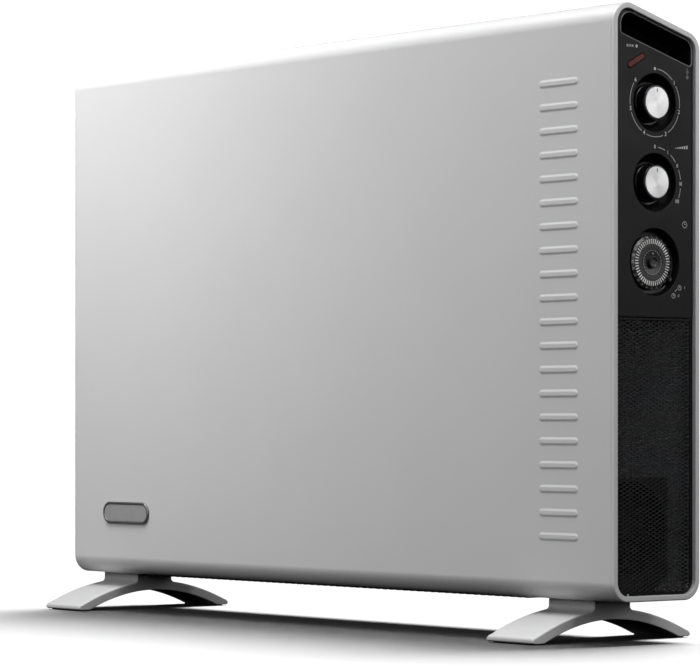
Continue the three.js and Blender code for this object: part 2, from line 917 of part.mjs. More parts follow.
const capFace = 0; // level with the outer face of the end frame
const capBack = capFace - capThickness;
const knobFace = capBack - seatGap;
const knobBase = dishFloor + runningGap;
const spindleTop = knobFace - knobTopThickness;

function knobSkirt() {
  const bore = spindleDiameter / 2 + seatGap;
  const top = knobTopDiameter / 2;
  const base = knobBaseDiameter / 2;
  return turned(
    [
      [bore, knobBase],
      [base, knobBase],
      [base, knobBase + knobFlangeHeight],
      [top + knobFlangeRoot, knobBase + knobFlangeHeight + knobFlangeSlope],
      [top, capBack],
      [top, capFace - knobRound],
      [top - knobRound, capFace - knobRound / 2],
      [capDiameter / 2 + seatGap, capFace - knobRound / 2],
      [capDiameter / 2 + seatGap, knobFace],
      [0, knobFace],
      [0, spindleTop + seatGap],
      [bore, spindleTop + seatGap],
      [bore, knobBase],
    ],
    roundSides,
  );
}

function knobCap() {
  const radius = capDiameter / 2;
  return turned(
    [
      [0, capBack],
      [radius, capBack],
      [radius, capFace - capChamfer],
      [radius - capChamfer, capFace],
      [0, capFace],
    ],
    roundSides,
  );
}

function spindle() {
  return rod(spindleDiameter / 2, dishBack - spindleReach, spindleTop, smallSides);
}

// A switch housing behind the panel: a block with a blind bore for its spindle.
function switchBody(size, depth, front, neckDiameter) {
  const half = size / 2;
  const corner = size * switchCorner;
  const block = prism(
    [
      [-half + corner, -half],
      [half - corner, -half],
      [half, -half + corner],
      [half, half - corner],
      [half - corner, half],
      [-half + corner, half],
      [-half, half - corner],
      [-half, -half + corner],
    ],
    front - depth,
    front - switchBushHeight,
  );
  const neck = rod(neckDiameter / 2, front - 2 * switchBushHeight, front, smallSides);
  const bore = rod(spindleDiameter / 2 + seatGap, front - spindleReach, front + 1, smallSides);
  return cut(join(block, neck), bore);
}

for (const [name, group] of Object.entries({ thermostat, selector })) {
  addPiece(group, `${name}_knob`, knobSkirt(), blackKnob);
  addPiece(group, `${name}_knob_cap`, knobCap(), brushedCap);
  addPiece(group, `${name}_spindle`, spindle(), steel);
}

const switchFront = dishBack - seatGap;
addPiece(
  thermostat,
  "thermostat_body",
  switchBody(thermostatBodySize, thermostatBodyDepth, switchFront, thermostatBushDiameter),
  switchPlastic,
);
addPiece(
  selector,
  "selector_switch",
  switchBody(selectorBodySize, selectorBodyDepth, switchFront, selectorBushDiameter),
  switchPlastic,
);

// ---------------------------------------------------------------- timer

const dialBack = timerFloor + runningGap;
const dialFace = dialBack + timerDialThickness;
const segmentSeat = dialFace - timerDialEdge;

// The dial: a numbered rim, a groove that holds the segments, a centre boss and its stem.
function timerDial() {
  const radius = timerDialDiameter / 2;
  const outer = segmentOuterDiameter / 2 + seatGap;
  const inner = segmentInnerDiameter / 2 - seatGap;
  const boss = timerBossDiameter / 2;
  const stem = spindleDiameter / 2;
  return turned(
    [
      [0, timerBack - spindleReach],
      [stem, timerBack - spindleReach],
      [stem, dialBack],
      [radius, dialBack],
      [radius, dialFace - timerDialEdge],
      [outer + timerDialBevel, dialFace],
      [outer, dialFace],
      [outer, segmentSeat - seatGap],
      [inner, segmentSeat - seatGap],
      [inner, dialFace],
      [boss, dialFace - timerDialDish],
      [boss, dialFace + timerBossHeight],
      [boss - timerBossRim, dialFace + timerBossHeight],
      [boss - timerBossCup, dialFace + timerBossHeight - timerBossRim],
      [0, dialFace + timerBossHeight - timerBossRim],
    ],
    roundSides,
  );
}

// The ring of switching segments: one radial tooth for each, on a common ring.
function segmentRing() {
  const step = (2 * Math.PI) / segmentCount;
  const outer = segmentOuterDiameter / 2;
  const root = outer - segmentDepth;
  const teeth = [];
  for (let i = 0; i < segmentCount; i++) {
    const corners = [
      [outer, 0],
      [outer, segmentShare],
      [root, (1 + segmentShare) / 2],
    ];
    for (const [radius, share] of corners) {
      const angle = (i + share) * step;
      teeth.push([radius * Math.cos(angle), radius * Math.sin(angle)]);
    }
  }
  const bore = circle(0, 0, segmentInnerDiameter / 2, roundSides);
  return prism(teeth, segmentSeat, dialFace + segmentHeight, [bore]);
}

// The mode lever: a hub round the stem, an arm behind the recess and a tab through its slot.
function timerLever() {
  const back = timerBack - seatGap - leverThickness;
  const front = timerBack - seatGap;
  const half = leverTabWidth / 2;
  const tip = leverRadius + leverTabDepth / 2;
  const hub = prism(
    circle(0, 0, leverHubDiameter / 2, smallSides),
    back,
    front,
    [circle(0, 0, spindleDiameter / 2 + seatGap, smallSides)],
  );
  const arm = prism(rectangle(leverHubDiameter / 2 - 1, -half, tip, half), back, front);
  const tab = prism(
    rectangle(leverRadius - leverTabDepth / 2, -half, tip, half),
    front - leverThickness / 2,
    dialFace + segmentHeight,
  );
  return join(hub, arm, tab).rotateZ(leverAngle);
}

// The timer movement, with two posts that reach past the lever to the back of the recess.
function timerBody() {
  const front = timerBack - 2 * seatGap - leverThickness;
  const half = timerBodySize / 2;
  const block = prism(rectangle(-half, -half, half, half), front - timerBodyDepth, front);
  const post = (x) =>
    prism(
      rectangle(x - timerPostSize / 2, half - timerPostSize, x + timerPostSize / 2, half),
      front - 1,
      timerBack - seatGap,
    );
  const reach = timerFloorDiameter / 4;
  const bore = rod(spindleDiameter / 2 + seatGap, timerBack - spindleReach - 1, front + 1, smallSides);
  return cut(join(block, post(-reach + timerPostSize), post(reach - timerPostSize)), bore);
}

addPiece(timer, "timer_dial", timerDial(), dialPlastic);
addPiece(timer, "timer_segment_ring", segmentRing(), segmentPlastic);
addPiece(timer, "timer_lever", timerLever(), blackKnob);
addPiece(timer, "timer_body", timerBody(), switchPlastic);

// ---------------------------------------------------------------- indicator lamp

function lampLens() {
  const front = panelFace + lampProud;
  const ring = (height, shrink) => lampOutline(-shrink).map(([y, z]) => [y, z, height]);
  return loft([ring(front - lampLensDepth, 0), ring(front - 0.5, 0), ring(front, 0.6)]);
}

function lampHolder() {
  const front = panelFace + lampProud - lampLensDepth - seatGap;
  return prism(lampOutline(1), front - lampHolderDepth, front);
}

addPiece(rightEnd, "lamp_lens", lampLens(), lampRed);
addPiece(rightEnd, "lamp_holder", lampHolder(), switchPlastic);

// ---------------------------------------------------------------- badge

function badgePlate() {
  const z = underside + badgeHeight;
  const ring = (depth, shrink) =>
    slot(badgeX, z, badgeLength - 2 * shrink, badgeWidth - 2 * shrink, 0, 8).map(([x, height]) => [
      -halfDepth - seatGap - depth,
      height,
      x,
    ]);
  return loft([
    ring(0, 0),
    ring(badgeSide, 0),
    ring(badgeThickness, badgeRimBevel),
    ring(badgeThickness, badgeRimBevel + badgeRim),
    ring(badgeThickness - badgeFieldDepth, badgeRimBevel + badgeRim + badgeFieldDepth),
  ]);
}

addPiece(lengthwise, "badge_plate", badgePlate(), badgeMetal);

// ---------------------------------------------------------------- grilles

// The top grille lies on the slope: local X is X, and local Y runs down to the rear.
const onTop = subgroup(heater, 0, ...onSlope(0, 0));
onTop.rotation.x = -topSlope;

function channel(from, to, plateLow, plateHigh, wallEnd, holes) {
  const plate = prism(rectangle(-grilleEnd, from, grilleEnd, to), plateLow, plateHigh);
  const slots = holes.map((hole) => prism(hole, plateLow - 1, plateHigh + 1));
  const low = Math.min(plateLow, wallEnd);
  const high = Math.max(plateHigh, wallEnd);
  const border = prism(rectangle(-grilleEnd, from, grilleEnd, to), low, high, [
    rectangle(-grilleEnd + grilleWall, from + grilleWall, grilleEnd - grilleWall, to - grilleWall),
  ]);
  return join(cut(plate, ...slots), border);
}

function topGrille() {
  const middle = slopeLength / 2;
  const pitchX = (2 * grilleEnd - topSlotBridge) / topSlotColumns;
  const holes = [];
  for (let column = 0; column < topSlotColumns; column++) {
    const left = -grilleEnd + topSlotBridge + column * pitchX;
    for (let row = 0; row < topSlotRows; row++) {
      const y = middle + (row - (topSlotRows - 1) / 2) * topSlotPitch;
      const right = left + pitchX - topSlotBridge;
      holes.push(rectangle(left, y - topSlotWidth / 2, right, y + topSlotWidth / 2));
    }
  }
  const top = -topGrilleDrop;
  const from = frontLip + seatGap;
  const to = rearLip - seatGap;
  return channel(from, to, top - grilleThickness, top, top - grilleWallHeight, holes);
}

addPiece(onTop, "top_grille", topGrille(), blackMoulding);

const footScrewPlaces = [];
for (const [foot, middle] of Object.entries(footPlaces)) {
  for (const side of [-1, 1]) {
    const x = middle + (side * footScrewSpacing) / 2;
    const place = side * x > 0 ? "outer" : "inner";
    footScrewPlaces.push({ name: `${foot}_foot_screw_${place}`, x });
  }
}

// The bottom grille: cross bars between the feet in an open frame, a floor at each end for
// the feet, and a boss for each foot screw.
function bottomGrille() {
  const half = bottomOpening / 2 - seatGap;
  const clear = footNeckWidth / 2 + barWidth;
  const left = footPlaces.left + clear;
  const right = footPlaces.right - clear;
  const count = Math.floor((right - left) / barPitch);
  const start = (left + right - count * barPitch) / 2;
  const bars = [];
  for (let i = 0; i <= count; i++) {
    const x = start + i * barPitch;
    const end = half - grilleWall / 2;
    const bar = rectangle(x - barWidth / 2, -end, x + barWidth / 2, end);
    bars.push(prism(bar, underside - barDrop, grilleFloor - barTopDrop));
  }
  const window = rectangle(left, grilleWall - half, right, half - grilleWall);
  const tray = channel(-half, half, underside, grilleFloor, underside + grilleWallHeight, [window]);
  const bossRadius = footBossDiameter / 2;
  const boreRadius = footScrewDiameter / 2 + seatGap;
  const bosses = [];
  const bores = [];
  for (const { x } of footScrewPlaces) {
    const boss = rod(bossRadius, underside + 1, footBossEnd, smallSides);
    const bore = rod(boreRadius, underside - 1, footScrewEnd + seatGap, rodSides);
    bosses.push(boss.translate(x, 0, 0));
    bores.push(bore.translate(x, 0, 0));
  }
  return cut(join(tray, ...bars, ...bosses), ...bores);
}

addPiece(heater, "bottom_grille", bottomGrille(), blackMoulding);

// ---------------------------------------------------------------- feet

const footReach = footSpan / 2;
const neckReach = footNeckDepth / 2;
const neckTop = underside - seatGap;

function armTop(y) {
  const run = y - neckReach;
  return footArmTop - footArmFall * run - run ** 2 / (2 * footArmRadius);
}

function archUnderside(y) {
  const half = footArchSpan / 2;
  const rise = footArchHeight - footLandHeight;
  return y < half ? footArchHeight - rise * (y / half) ** 2 : footLandHeight;
}

// Upper and lower heights of the foot at a distance y from its middle, out to the tip.
function tipTop(y) {
  const run = Math.max(0, y - (footReach - footTipRound));
  return armTop(y - run) - footTipRound + Math.sqrt(footTipRound ** 2 - run ** 2);
}

function tipUnderside(y) {
  const run = Math.max(0, y - (footReach - footHeelRound));
  return archUnderside(y) + footHeelRound - Math.sqrt(footHeelRound ** 2 - run ** 2);
}

function footHalfWidth(y) {
  const share = Math.max(0, y - neckReach) / (footReach - neckReach);
  return footNeckWidth / 2 + (share * (footTipWidth - footNeckWidth)) / 2;
}

// One cross-section of the foot, a rectangle with small bevels along its edges.
function footRing(y, top) {
  const distance = Math.abs(y);
  const low = tipUnderside(distance);
  const half = footHalfWidth(distance);
  const edge = Math.min(footEdge, (top - low) / 3);
  return [
    [-half + edge, y, low],
    [half - edge, y, low],
    [half, y, low + edge],
    [half, y, top - edge],
    [half - edge, y, top],
    [-half + edge, y, top],
    [-half, y, top - edge],
    [-half, y, low + edge],
  ];
}

// Half of the foot from the neck outwards, as distance from the middle and upper height.
function footStations() {
  const stations = [
    [0, neckTop],
    [neckReach / 2, neckTop],
    [neckReach, neckTop],
  ];
  const filletEnd = neckReach + footFilletRadius;
  const base = armTop(filletEnd);
  const filletSteps = 3;
  for (let i = 0; i < filletSteps; i++) {
    const angle = ((i / filletSteps) * Math.PI) / 2;
    const y = filletEnd - footFilletRadius * Math.cos(angle);
    stations.push([y, base + footFilletRadius * (1 - Math.sin(angle))]);
  }
  const armSteps = 5;
  const armEnd = footReach - footTipRound;
  for (let i = 0; i <= armSteps; i++) {
    const y = filletEnd + ((armEnd - filletEnd) * i) / armSteps;
    stations.push([y, armTop(y)]);
  }
  const tipSteps = 2;
  for (let i = 1; i <= tipSteps; i++) {
    const y = armEnd + footTipRound * Math.sin(((i / tipSteps) * Math.PI) / 2);
    stations.push([y, tipTop(y)]);
  }
  return stations;
}

const padReach = footReach - padInset - padWidth / 2;

function padOutline(side, growth) {
  const halfLength = padLength / 2 + growth;
  const halfWidth = padWidth / 2 + growth;
  const y = side * padReach;
  return rectangle(-halfLength, y - halfWidth, halfLength, y + halfWidth);
}

function footBody() {
  const half = footStations();
  const front = half
    .slice(1)
    .reverse()
    .map(([y, top]) => footRing(-y, top));
  const rear = half.map(([y, top]) => footRing(y, top));
  const tools = [];
  for (const side of [-1, 1]) {
    tools.push(prism(padOutline(side, seatGap), -1, padThickness + seatGap));
    const x = (side * footScrewSpacing) / 2;
    const shank = rod(footScrewDiameter / 2 + seatGap, 0, neckTop + 1, rodSides);
    const headRoom = rod(footScrewHeadDiameter / 2 + seatGap, 0, screwSeat, rodSides);
    tools.push(shank.translate(x, 0, 0), headRoom.translate(x, 0, 0));
  }
  return cut(loft([...front, ...rear].reverse()), ...tools);
}

const screwSeat = footScrewHeadLevel + footScrewHeadHeight + seatGap;

function footScrew() {
  const head = footScrewHeadDiameter / 2;
  const shank = footScrewDiameter / 2;
  const low = footScrewHeadLevel;
  const seat = low + footScrewHeadHeight;
  return turned(
    [
      [0, low],
      [head - footScrewHeadChamfer, low],
      [head, low + footScrewHeadChamfer],
      [head, seat],
      [shank, seat],
      [shank, footScrewEnd],
      [0, footScrewEnd],
    ],
    rodSides,
  );
}

for (const [name, x] of Object.entries(footPlaces)) {
  const foot = subgroup(heater, x, 0, 0);
  addPiece(foot, `${name}_foot`, footBody(), footPaint);
  for (const [end, side] of [
    ["front", -1],
    ["rear", 1],
  ]) {
    addPiece(foot, `${name}_foot_pad_${end}`, prism(padOutline(side, 0), 0, padThickness), rubber);
  }
}

for (const { name, x } of footScrewPlaces) {
  addPiece(heater, name, footScrew().translate(x, 0, 0), steel);
}

// ---------------------------------------------------------------- heating elements

const bracketFoot = grilleFloor + seatGap;
const bracketFootHalf = bottomOpening / 2 - seatGap - grilleWall - seatGap;
const elementSides = { front: -elementSpacing / 2, rear: elementSpacing / 2 };

function bracketOutline() {
  const shoulder = underside + bracketShoulder;
  const top = underside + bracketTop;
  return [
    [-bracketFootHalf, bracketFoot],
    [bracketFootHalf, bracketFoot],
    [bracketFootHalf, shoulder],
    [bracketHalfWidth, shoulder + bracketFlare],
    [bracketHalfWidth, top],
    [-bracketHalfWidth, top],
    [-bracketHalfWidth, shoulder + bracketFlare],
    [-bracketFootHalf, shoulder],
  ];
}

for (const [name, x] of Object.entries(bracketPositions)) {
  const radius = name === "middle" ? rodDiameter / 2 + seatGap : bushDiameter / 2 + seatGap;
  const holes = Object.values(elementSides).map((y) => circle(y, elementZ, radius, smallSides));
  const plate = prism(bracketOutline(), x - bracketThickness / 2, x + bracketThickness / 2, holes);
  addPiece(lengthwise, `element_bracket_${name}`, plate, galvanised);
}

// The section of an extruded element: a level web with upright fins above and below it.
function finSection() {
  const pitch = (finWidth - finThickness) / (finCount - 1);
  const comb = (side) => {
    const points = [];
    for (let i = 0; i < finCount; i++) {
      const y = i * pitch - finWidth / 2;
      const root = (side * webThickness) / 2;
      const tip = (side * finHeight) / 2;
      points.push([y, root], [y, tip], [y + finThickness, tip], [y + finThickness, root]);
    }
    return points;
  };
  return [...comb(-1), ...comb(1).reverse()];
}

// A rod with extruded fins, in two banks, one on each side of the middle bracket.
function finnedElement(y) {
  const { left, middle, right } = bracketPositions;
  const section = finSection();
  const banks = [
    prism(section, left + finClearance, middle - finClearance),
    prism(section, middle + finClearance, right - finClearance),
  ];
  const core = rod(rodDiameter / 2, left - rodOverhang, right + rodOverhang, rodSides);
  return join(core, ...banks).translate(y, elementZ, 0);
}

// A ceramic bush through a bracket: its flange on the inner side, its barrel outwards.
function bush() {
  const bore = rodDiameter / 2 + seatGap;
  const face = -bracketThickness / 2 - seatGap;
  return turned(
    [
      [bore, face - bushFlangeThickness],
      [bushFlangeDiameter / 2, face - bushFlangeThickness],
      [bushFlangeDiameter / 2, face],
      [bushDiameter / 2, face],
      [bushDiameter / 2, face + bushLength],
      [bore, face + bushLength],
      [bore, face - bushFlangeThickness],
    ],
    rodSides,
  );
}

for (const [name, y] of Object.entries(elementSides)) {
  addPiece(lengthwise, `${name}_heating_element`, finnedElement(y), aluminium);
  for (const [end, side] of [
    ["left", -1],
    ["right", 1],
  ]) {
    const piece = addPiece(lengthwise, `${name}_element_bush_${end}`, bush(), ceramic);
    piece.position.set(y, elementZ, bracketPositions[end]);
    if (side < 0) piece.rotation.y = Math.PI;
  }
}

// A shield along the brackets, with a flange turned inwards at its top.
function heatShield(side) {
  const near = side * (bracketHalfWidth + seatGap);
  const far = side * (bracketHalfWidth + seatGap + shieldThickness);
  const low = underside + shieldBottom;
  const high = underside + shieldTop;
  const section = [
    [near, low],
    [far, low],
    [far, high],
    [far - side * shieldFlange, high],
    [far - side * shieldFlange, high - shieldThickness],
    [near, high - shieldThickness],
  ];
  const reach = bracketThickness / 2;
  return prism(section, bracketPositions.left - reach, bracketPositions.right + reach);
}

addPiece(lengthwise, "front_heat_shield", heatShield(-1), galvanised);
addPiece(lengthwise, "rear_heat_shield", heatShield(1), galvanised);

// ---------------------------------------------------------------- fan

const fan = subgroup(lengthwise, 0, fanZ, fanX);

// The shroud: a mounting plate, a ring, and struts to the hub that carries the motor.
function fanHousing() {
  const front = shroudLength / 2;
  const outer = shroudOuterDiameter / 2;
  const inner = shroudInnerDiameter / 2;
  const foot = bracketFoot - fanZ;
  const plate = prism(
    [
      [-fanFootHalfWidth, foot],
      [fanFootHalfWidth, foot],
      [fanFootHalfWidth, foot + fanFootHeight],
      [outer, foot + fanShoulderHeight],
      [outer, outer],
      [-outer, outer],
      [-outer, foot + fanShoulderHeight],
      [-fanFootHalfWidth, foot + fanFootHeight],
    ],
    front - fanPlateThickness,
    front,
    [circle(0, 0, inner, roundSides)],
  );
  const ring = prism(circle(0, 0, outer, roundSides), -front, front - 1, [
    circle(0, 0, inner, roundSides),
  ]);
  const strutFace = -front + strutThickness;
  const hub = prism(circle(0, 0, fanHubDiameter / 2, smallSides), -front, strutFace, [
    circle(0, 0, motorShaftDiameter / 2 + seatGap, smallSides),
  ]);
  const struts = [];
  for (let i = 0; i < strutCount; i++) {
    const strut = prism(
      rectangle(fanHubDiameter / 2 - 1, -strutWidth / 2, inner + 1, strutWidth / 2),
      -front,
      strutFace,
    );
    struts.push(strut.rotateZ(Math.PI / 2 + (i * 2 * Math.PI) / strutCount));
  }
  return join(plate, ring, hub, ...struts);
}

const motorFace = -shroudLength / 2 - seatGap;

function fanMotor() {
  const radius = motorDiameter / 2;
  const shaft = motorShaftDiameter / 2;
  return turned(
    [
      [0, motorFace - motorLength],
      [radius - motorEdge, motorFace - motorLength],
      [radius, motorFace - motorLength + motorEdge],
      [radius, motorFace - 1],
      [radius - 1, motorFace],
      [shaft, motorFace],
      [shaft, motorFace + motorShaftReach],
      [0, motorFace + motorShaftReach],
    ],
    smallSides,
  );
}

// The wheel: a hub with a blind bore for the motor shaft, and pitched blades.
function fanWheel() {
  const back = -shroudLength / 2 + strutThickness + runningGap;
  const front = back + wheelHubLength;
  const bore = motorShaftDiameter / 2 + seatGap;
  const end = motorFace + motorShaftReach + seatGap;
  const hub = wheelHubDiameter / 2;
  const centre = turned(
    [
      [bore, back],
      [hub, back],
      [hub, front - wheelHubEdge],
      [hub - wheelHubEdge, front],
      [0, front],
      [0, end],
      [bore, end],
      [bore, back],
    ],
    smallSides,
  );
  const blades = [];
  const length = wheelDiameter / 2 - hub + 1;
  for (let i = 0; i < bladeCount; i++) {
    const blade = new THREE.BoxGeometry(bladeThickness, length, bladeChord)
      .rotateY(bladePitch)
      .translate(0, hub - 1 + length / 2, (back + front) / 2)
      .rotateZ((i * 2 * Math.PI) / bladeCount);
    blades.push(blade);
  }
  const sweep = prism(circle(0, 0, wheelDiameter / 2, roundSides), back, front);
  return join(centre, common(join(...blades), sweep));
}

addPiece(fan, "fan_housing", fanHousing(), blackMoulding);
addPiece(fan, "fan_motor", fanMotor(), steel);
addPiece(fan, "fan_wheel", fanWheel(), dialPlastic);

// ---------------------------------------------------------------- small electrical parts

// The thermal cut-out: a round can on a plate, on the outer side of the right bracket.
function thermalCutout() {
  const base = bracketPositions.right + bracketThickness / 2 + seatGap;
  const plate = prism(
    slot(0, underside + cutoutHeight, cutoutPlateLength, cutoutDiameter / 2, 0, 4),
    base,
    base + cutoutPlateThickness,
  );
  const can = rod(cutoutDiameter / 2, base, base + cutoutDepth, smallSides);
  return join(plate, can.translate(0, underside + cutoutHeight, 0));
}

// The terminal block: a row of ways divided by slots, standing on the bottom grille.
function terminalBlock() {
  const rear = bracketFootHalf - seatGap;
  const front = rear - terminalDepth;
  const low = bracketFoot;
  const high = low + terminalHeight;
  const left = terminalX - terminalLength / 2;
  const block = prism(rectangle(left, front, left + terminalLength, rear), low, high);
  const tools = [];
  for (let i = 1; i < terminalWays; i++) {
    const x = left + (terminalLength * i) / terminalWays - terminalSlotWidth / 2;
    const groove = rectangle(x, front - 1, x + terminalSlotWidth, rear + 1);
    tools.push(prism(groove, high - terminalSlotDepth, high + 1));
  }
  return cut(block, ...tools);
}

// The gland for the mains lead, through the rear panel.
function cordGland() {
  const bore = glandBore / 2;
  const barrel = glandDiameter / 2;
  return turned(
    [
      [bore, -glandReach],
      [barrel, -glandReach],
      [barrel, seatGap],
      [glandFlangeDiameter / 2, seatGap],
      [glandFlangeDiameter / 2 - glandRound, seatGap + glandFlangeThickness],
      [bore + glandRound, seatGap + glandFlangeThickness],
      [bore, seatGap + glandFlangeThickness - glandRound],
      [bore, -glandReach],
    ],
    smallSides,
  );
}

addPiece(lengthwise, "thermal_cutout", thermalCutout(), steel);
addPiece(heater, "terminal_block", terminalBlock(), switchPlastic);
addPiece(
  lengthwise,
  "cord_gland",
  acrossDepth(cordGland(), halfDepth, underside + glandHeight, glandX),
  rubber,
);

export default heater;
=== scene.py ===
from math import cos, hypot, pi, radians, sin, tan

import bmesh
import bpy
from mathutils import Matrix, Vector
from mathutils.geometry import tessellate_polygon


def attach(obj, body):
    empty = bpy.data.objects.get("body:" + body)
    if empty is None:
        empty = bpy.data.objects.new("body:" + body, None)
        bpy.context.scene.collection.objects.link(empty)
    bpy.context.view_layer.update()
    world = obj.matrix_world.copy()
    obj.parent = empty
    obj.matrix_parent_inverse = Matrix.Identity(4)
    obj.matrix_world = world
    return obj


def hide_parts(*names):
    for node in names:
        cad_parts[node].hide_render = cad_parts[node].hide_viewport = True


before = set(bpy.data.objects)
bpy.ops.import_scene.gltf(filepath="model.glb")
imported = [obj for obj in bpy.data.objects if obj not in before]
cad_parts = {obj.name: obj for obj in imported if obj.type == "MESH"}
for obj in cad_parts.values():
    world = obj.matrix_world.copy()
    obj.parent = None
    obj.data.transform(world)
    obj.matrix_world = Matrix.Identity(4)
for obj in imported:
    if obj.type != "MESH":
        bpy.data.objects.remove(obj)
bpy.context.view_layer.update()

# A panel convector heater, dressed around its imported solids. Lengths are in millimetres until a
# mesh is made. X runs to the control end, -Y is the front and +Z is up.

MM = 0.001

# ---- dimensions of the solids

FRAME_END = 350
SHEET_END = 347.3
HALF_DEPTH = 44
UNDERSIDE = 32
RIDGE = 473
SLOPE = radians(16.5)
CORNER = 15
SHEET = 1
LIP_Y = 26.5
LIP_BEND = 2
FLANGE = 6
TOP_OPENING = 46.6
RIM_WIDTH = 4.4
RIM_DEPTH = 2.5
PANEL_FACE = -2.6
PANEL_BACK = -5
PANEL_INSET = 4.7
MESH_TOP = 241.5
THERMOSTAT_Z = 400.8
SELECTOR_Z = 341.8
TIMER_Z = 282.8
LEVER_ANGLE = radians(-35)
LEVER_TRAVEL = radians(14)
FEET = {"left": -315, "right": 276}

FRONT_LOW = (-HALF_DEPTH + CORNER, UNDERSIDE + CORNER)
REAR_LOW = (HALF_DEPTH - CORNER, UNDERSIDE + CORNER)
FRONT_TOP = (-HALF_DEPTH + CORNER, RIDGE - CORNER)
REAR_TOP = (
    HALF_DEPTH - CORNER,
    RIDGE - CORNER - 2 * (HALF_DEPTH - CORNER) * tan(SLOPE),
)
SLOPE_NORMAL = pi / 2 - SLOPE

# ---- outlines


def arc(centre, radius, start, end, steps):
    y, z = centre
    angles = [start + (end - start) * i / steps for i in range(steps + 1)]
    return [(y + radius * cos(a), z + radius * sin(a)) for a in angles]


def circle(centre, radius, sides):
    return arc(centre, radius, 0, 2 * pi, sides)[:-1]


def pill(centre, length, width, angle, steps):
    """A bar with round ends."""
    reach = (length - width) / 2
    dy, dz = reach * cos(angle), reach * sin(angle)
    y, z = centre
    quarter = pi / 2
    return [
        *arc((y + dy, z + dz), width / 2, angle - quarter, angle + quarter, steps),
        *arc((y - dy, z - dz), width / 2, angle + quarter, angle + 3 * quarter, steps),
    ]


def casing_outline(inset):
    """The outline of the casing's end, moved inwards."""
    steps = 16
    radius = CORNER - inset
    return [
        *arc(FRONT_LOW, radius, pi, 1.5 * pi, steps),
        *arc(REAR_LOW, radius, 1.5 * pi, 2 * pi, steps),
        *arc(REAR_TOP, radius, 0, SLOPE_NORMAL, steps),
        *arc(FRONT_TOP, radius, SLOPE_NORMAL, pi, steps),
    ]


def on_slope(along, below):
    """A point a way along the sloping top and below it."""
    out = CORNER - below
    return (
        FRONT_TOP[0] + along * cos(SLOPE) + out * sin(SLOPE),
        FRONT_TOP[1] - along * sin(SLOPE) + out * cos(SLOPE),
    )


def slope_height(y, below):
    fall = (y - FRONT_TOP[0]) * tan(SLOPE)
    return FRONT_TOP[1] - fall + (CORNER - below) / cos(SLOPE)


# ---- meshes

SMOOTH_ANGLE = 32
TURNED_SIDES = 96
INNER_START = 0.5


class Solid:
    """Points in millimetres and the faces between them."""

    def __init__(self):
        self.points = []
        self.faces = []

    def loop(self, points):
        start = len(self.points)
        self.points.extend(points)
        return list(range(start, len(self.points)))

    def bridge(self, first, second):
        count = len(first)
        for i in range(count):
            j = (i + 1) % count
            self.faces.append((first[i], first[j], second[j], second[i]))

    def chain(self, loops):
        for first, second in zip(loops, loops[1:]):
            self.bridge(first, second)

    def end_loop(self, outline, height, side=1):
        return self.loop(end_points(outline, height, side))

    def strip(self, first, second):
        for i in range(len(first) - 1):
            self.faces.append((first[i], first[i + 1], second[i + 1], second[i]))

    def cap(self, loop):
        self.faces.append(tuple(loop))

    def fill(self, *loops):
        """Fills the first loop around the others, which lie in one plane with it."""
        order = [i for loop in loops for i in loop]
        outlines = [[Vector(self.points[i]) for i in loop] for loop in loops]
        for triangle in tessellate_polygon(outlines):
            self.faces.append(tuple(order[i] for i in triangle))

    def rings(self, rings, closed=False):
        loops = [self.loop(ring) for ring in rings]
        self.chain(loops)
        if closed:
            self.bridge(loops[-1], loops[0])
        else:
            self.cap(loops[0])
            self.cap(loops[-1])
        return loops


def new_object(name, mesh):
    piece = bpy.data.objects.new(name, mesh)
    bpy.context.scene.collection.objects.link(piece)
    return piece


def make_mesh(name, solid, sharp):
    """A smooth mesh with its edges sharp above an angle. A face that is there twice is kept once."""
    bm = bmesh.new()
    verts = [bm.verts.new(Vector(p) * MM) for p in solid.points]
    for face in solid.faces:
        if len(set(face)) > 2:
            try:
                bm.faces.new([verts[i] for i in face])
            except ValueError:
                pass
    bmesh.ops.remove_doubles(bm, verts=bm.verts, dist=1e-7)
    bmesh.ops.delete(bm, geom=[v for v in bm.verts if not v.link_faces], context="VERTS")
    bmesh.ops.recalc_face_normals(bm, faces=bm.faces)
    mesh = bpy.data.meshes.new(name)
    bm.to_mesh(mesh)
    bm.free()
    mesh.shade_smooth()
    mesh.set_sharp_from_angle(angle=radians(sharp))
    return mesh


def add_piece(
    name, solid, material, body="casing", replaces=(), sharp=SMOOTH_ANGLE, inner=None
):
    """A dressed piece on a body. What lies behind the end panel's face takes the inner material: a
    darker black that paints shade into the recesses.
    """
    mesh = make_mesh(name, solid, sharp)
    mesh.materials.append(material)
    if inner:
        mesh.materials.append(inner)
        limit = (FRAME_END + PANEL_FACE - INNER_START) * MM
        for face in mesh.polygons:
            if abs(face.center.x) < limit:
                face.material_index = 1
    piece = new_object(name, mesh)
    weighted = piece.modifiers.new("weighted", "WEIGHTED_NORMAL")
    weighted.keep_sharp = True
    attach(piece, body)
    if replaces:
        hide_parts(*replaces)
    return piece


def end_points(outline, height, side=1):
    """An outline in Y and Z, a height outwards from the outer plane of an end frame."""
    return [(side * (FRAME_END + height), y, z) for y, z in outline]


def turned(solid, profile, centre):
    """A turned shape about X. The profile lists (radius, height), and its ends are capped."""
    solid.rings([end_points(circle(centre, radius, TURNED_SIDES), height) for radius, height in profile])


# ---- material helpers


def new_node(tree, kind, **settings):
    """A new node. A setting names an input, or else a property."""
    made = tree.nodes.new(kind)
    for key, value in settings.items():
        socket = key.replace("_", " ")
        if socket in made.inputs:
            made.inputs[socket].default_value = value
        else:
            setattr(made, key, value)
    return made


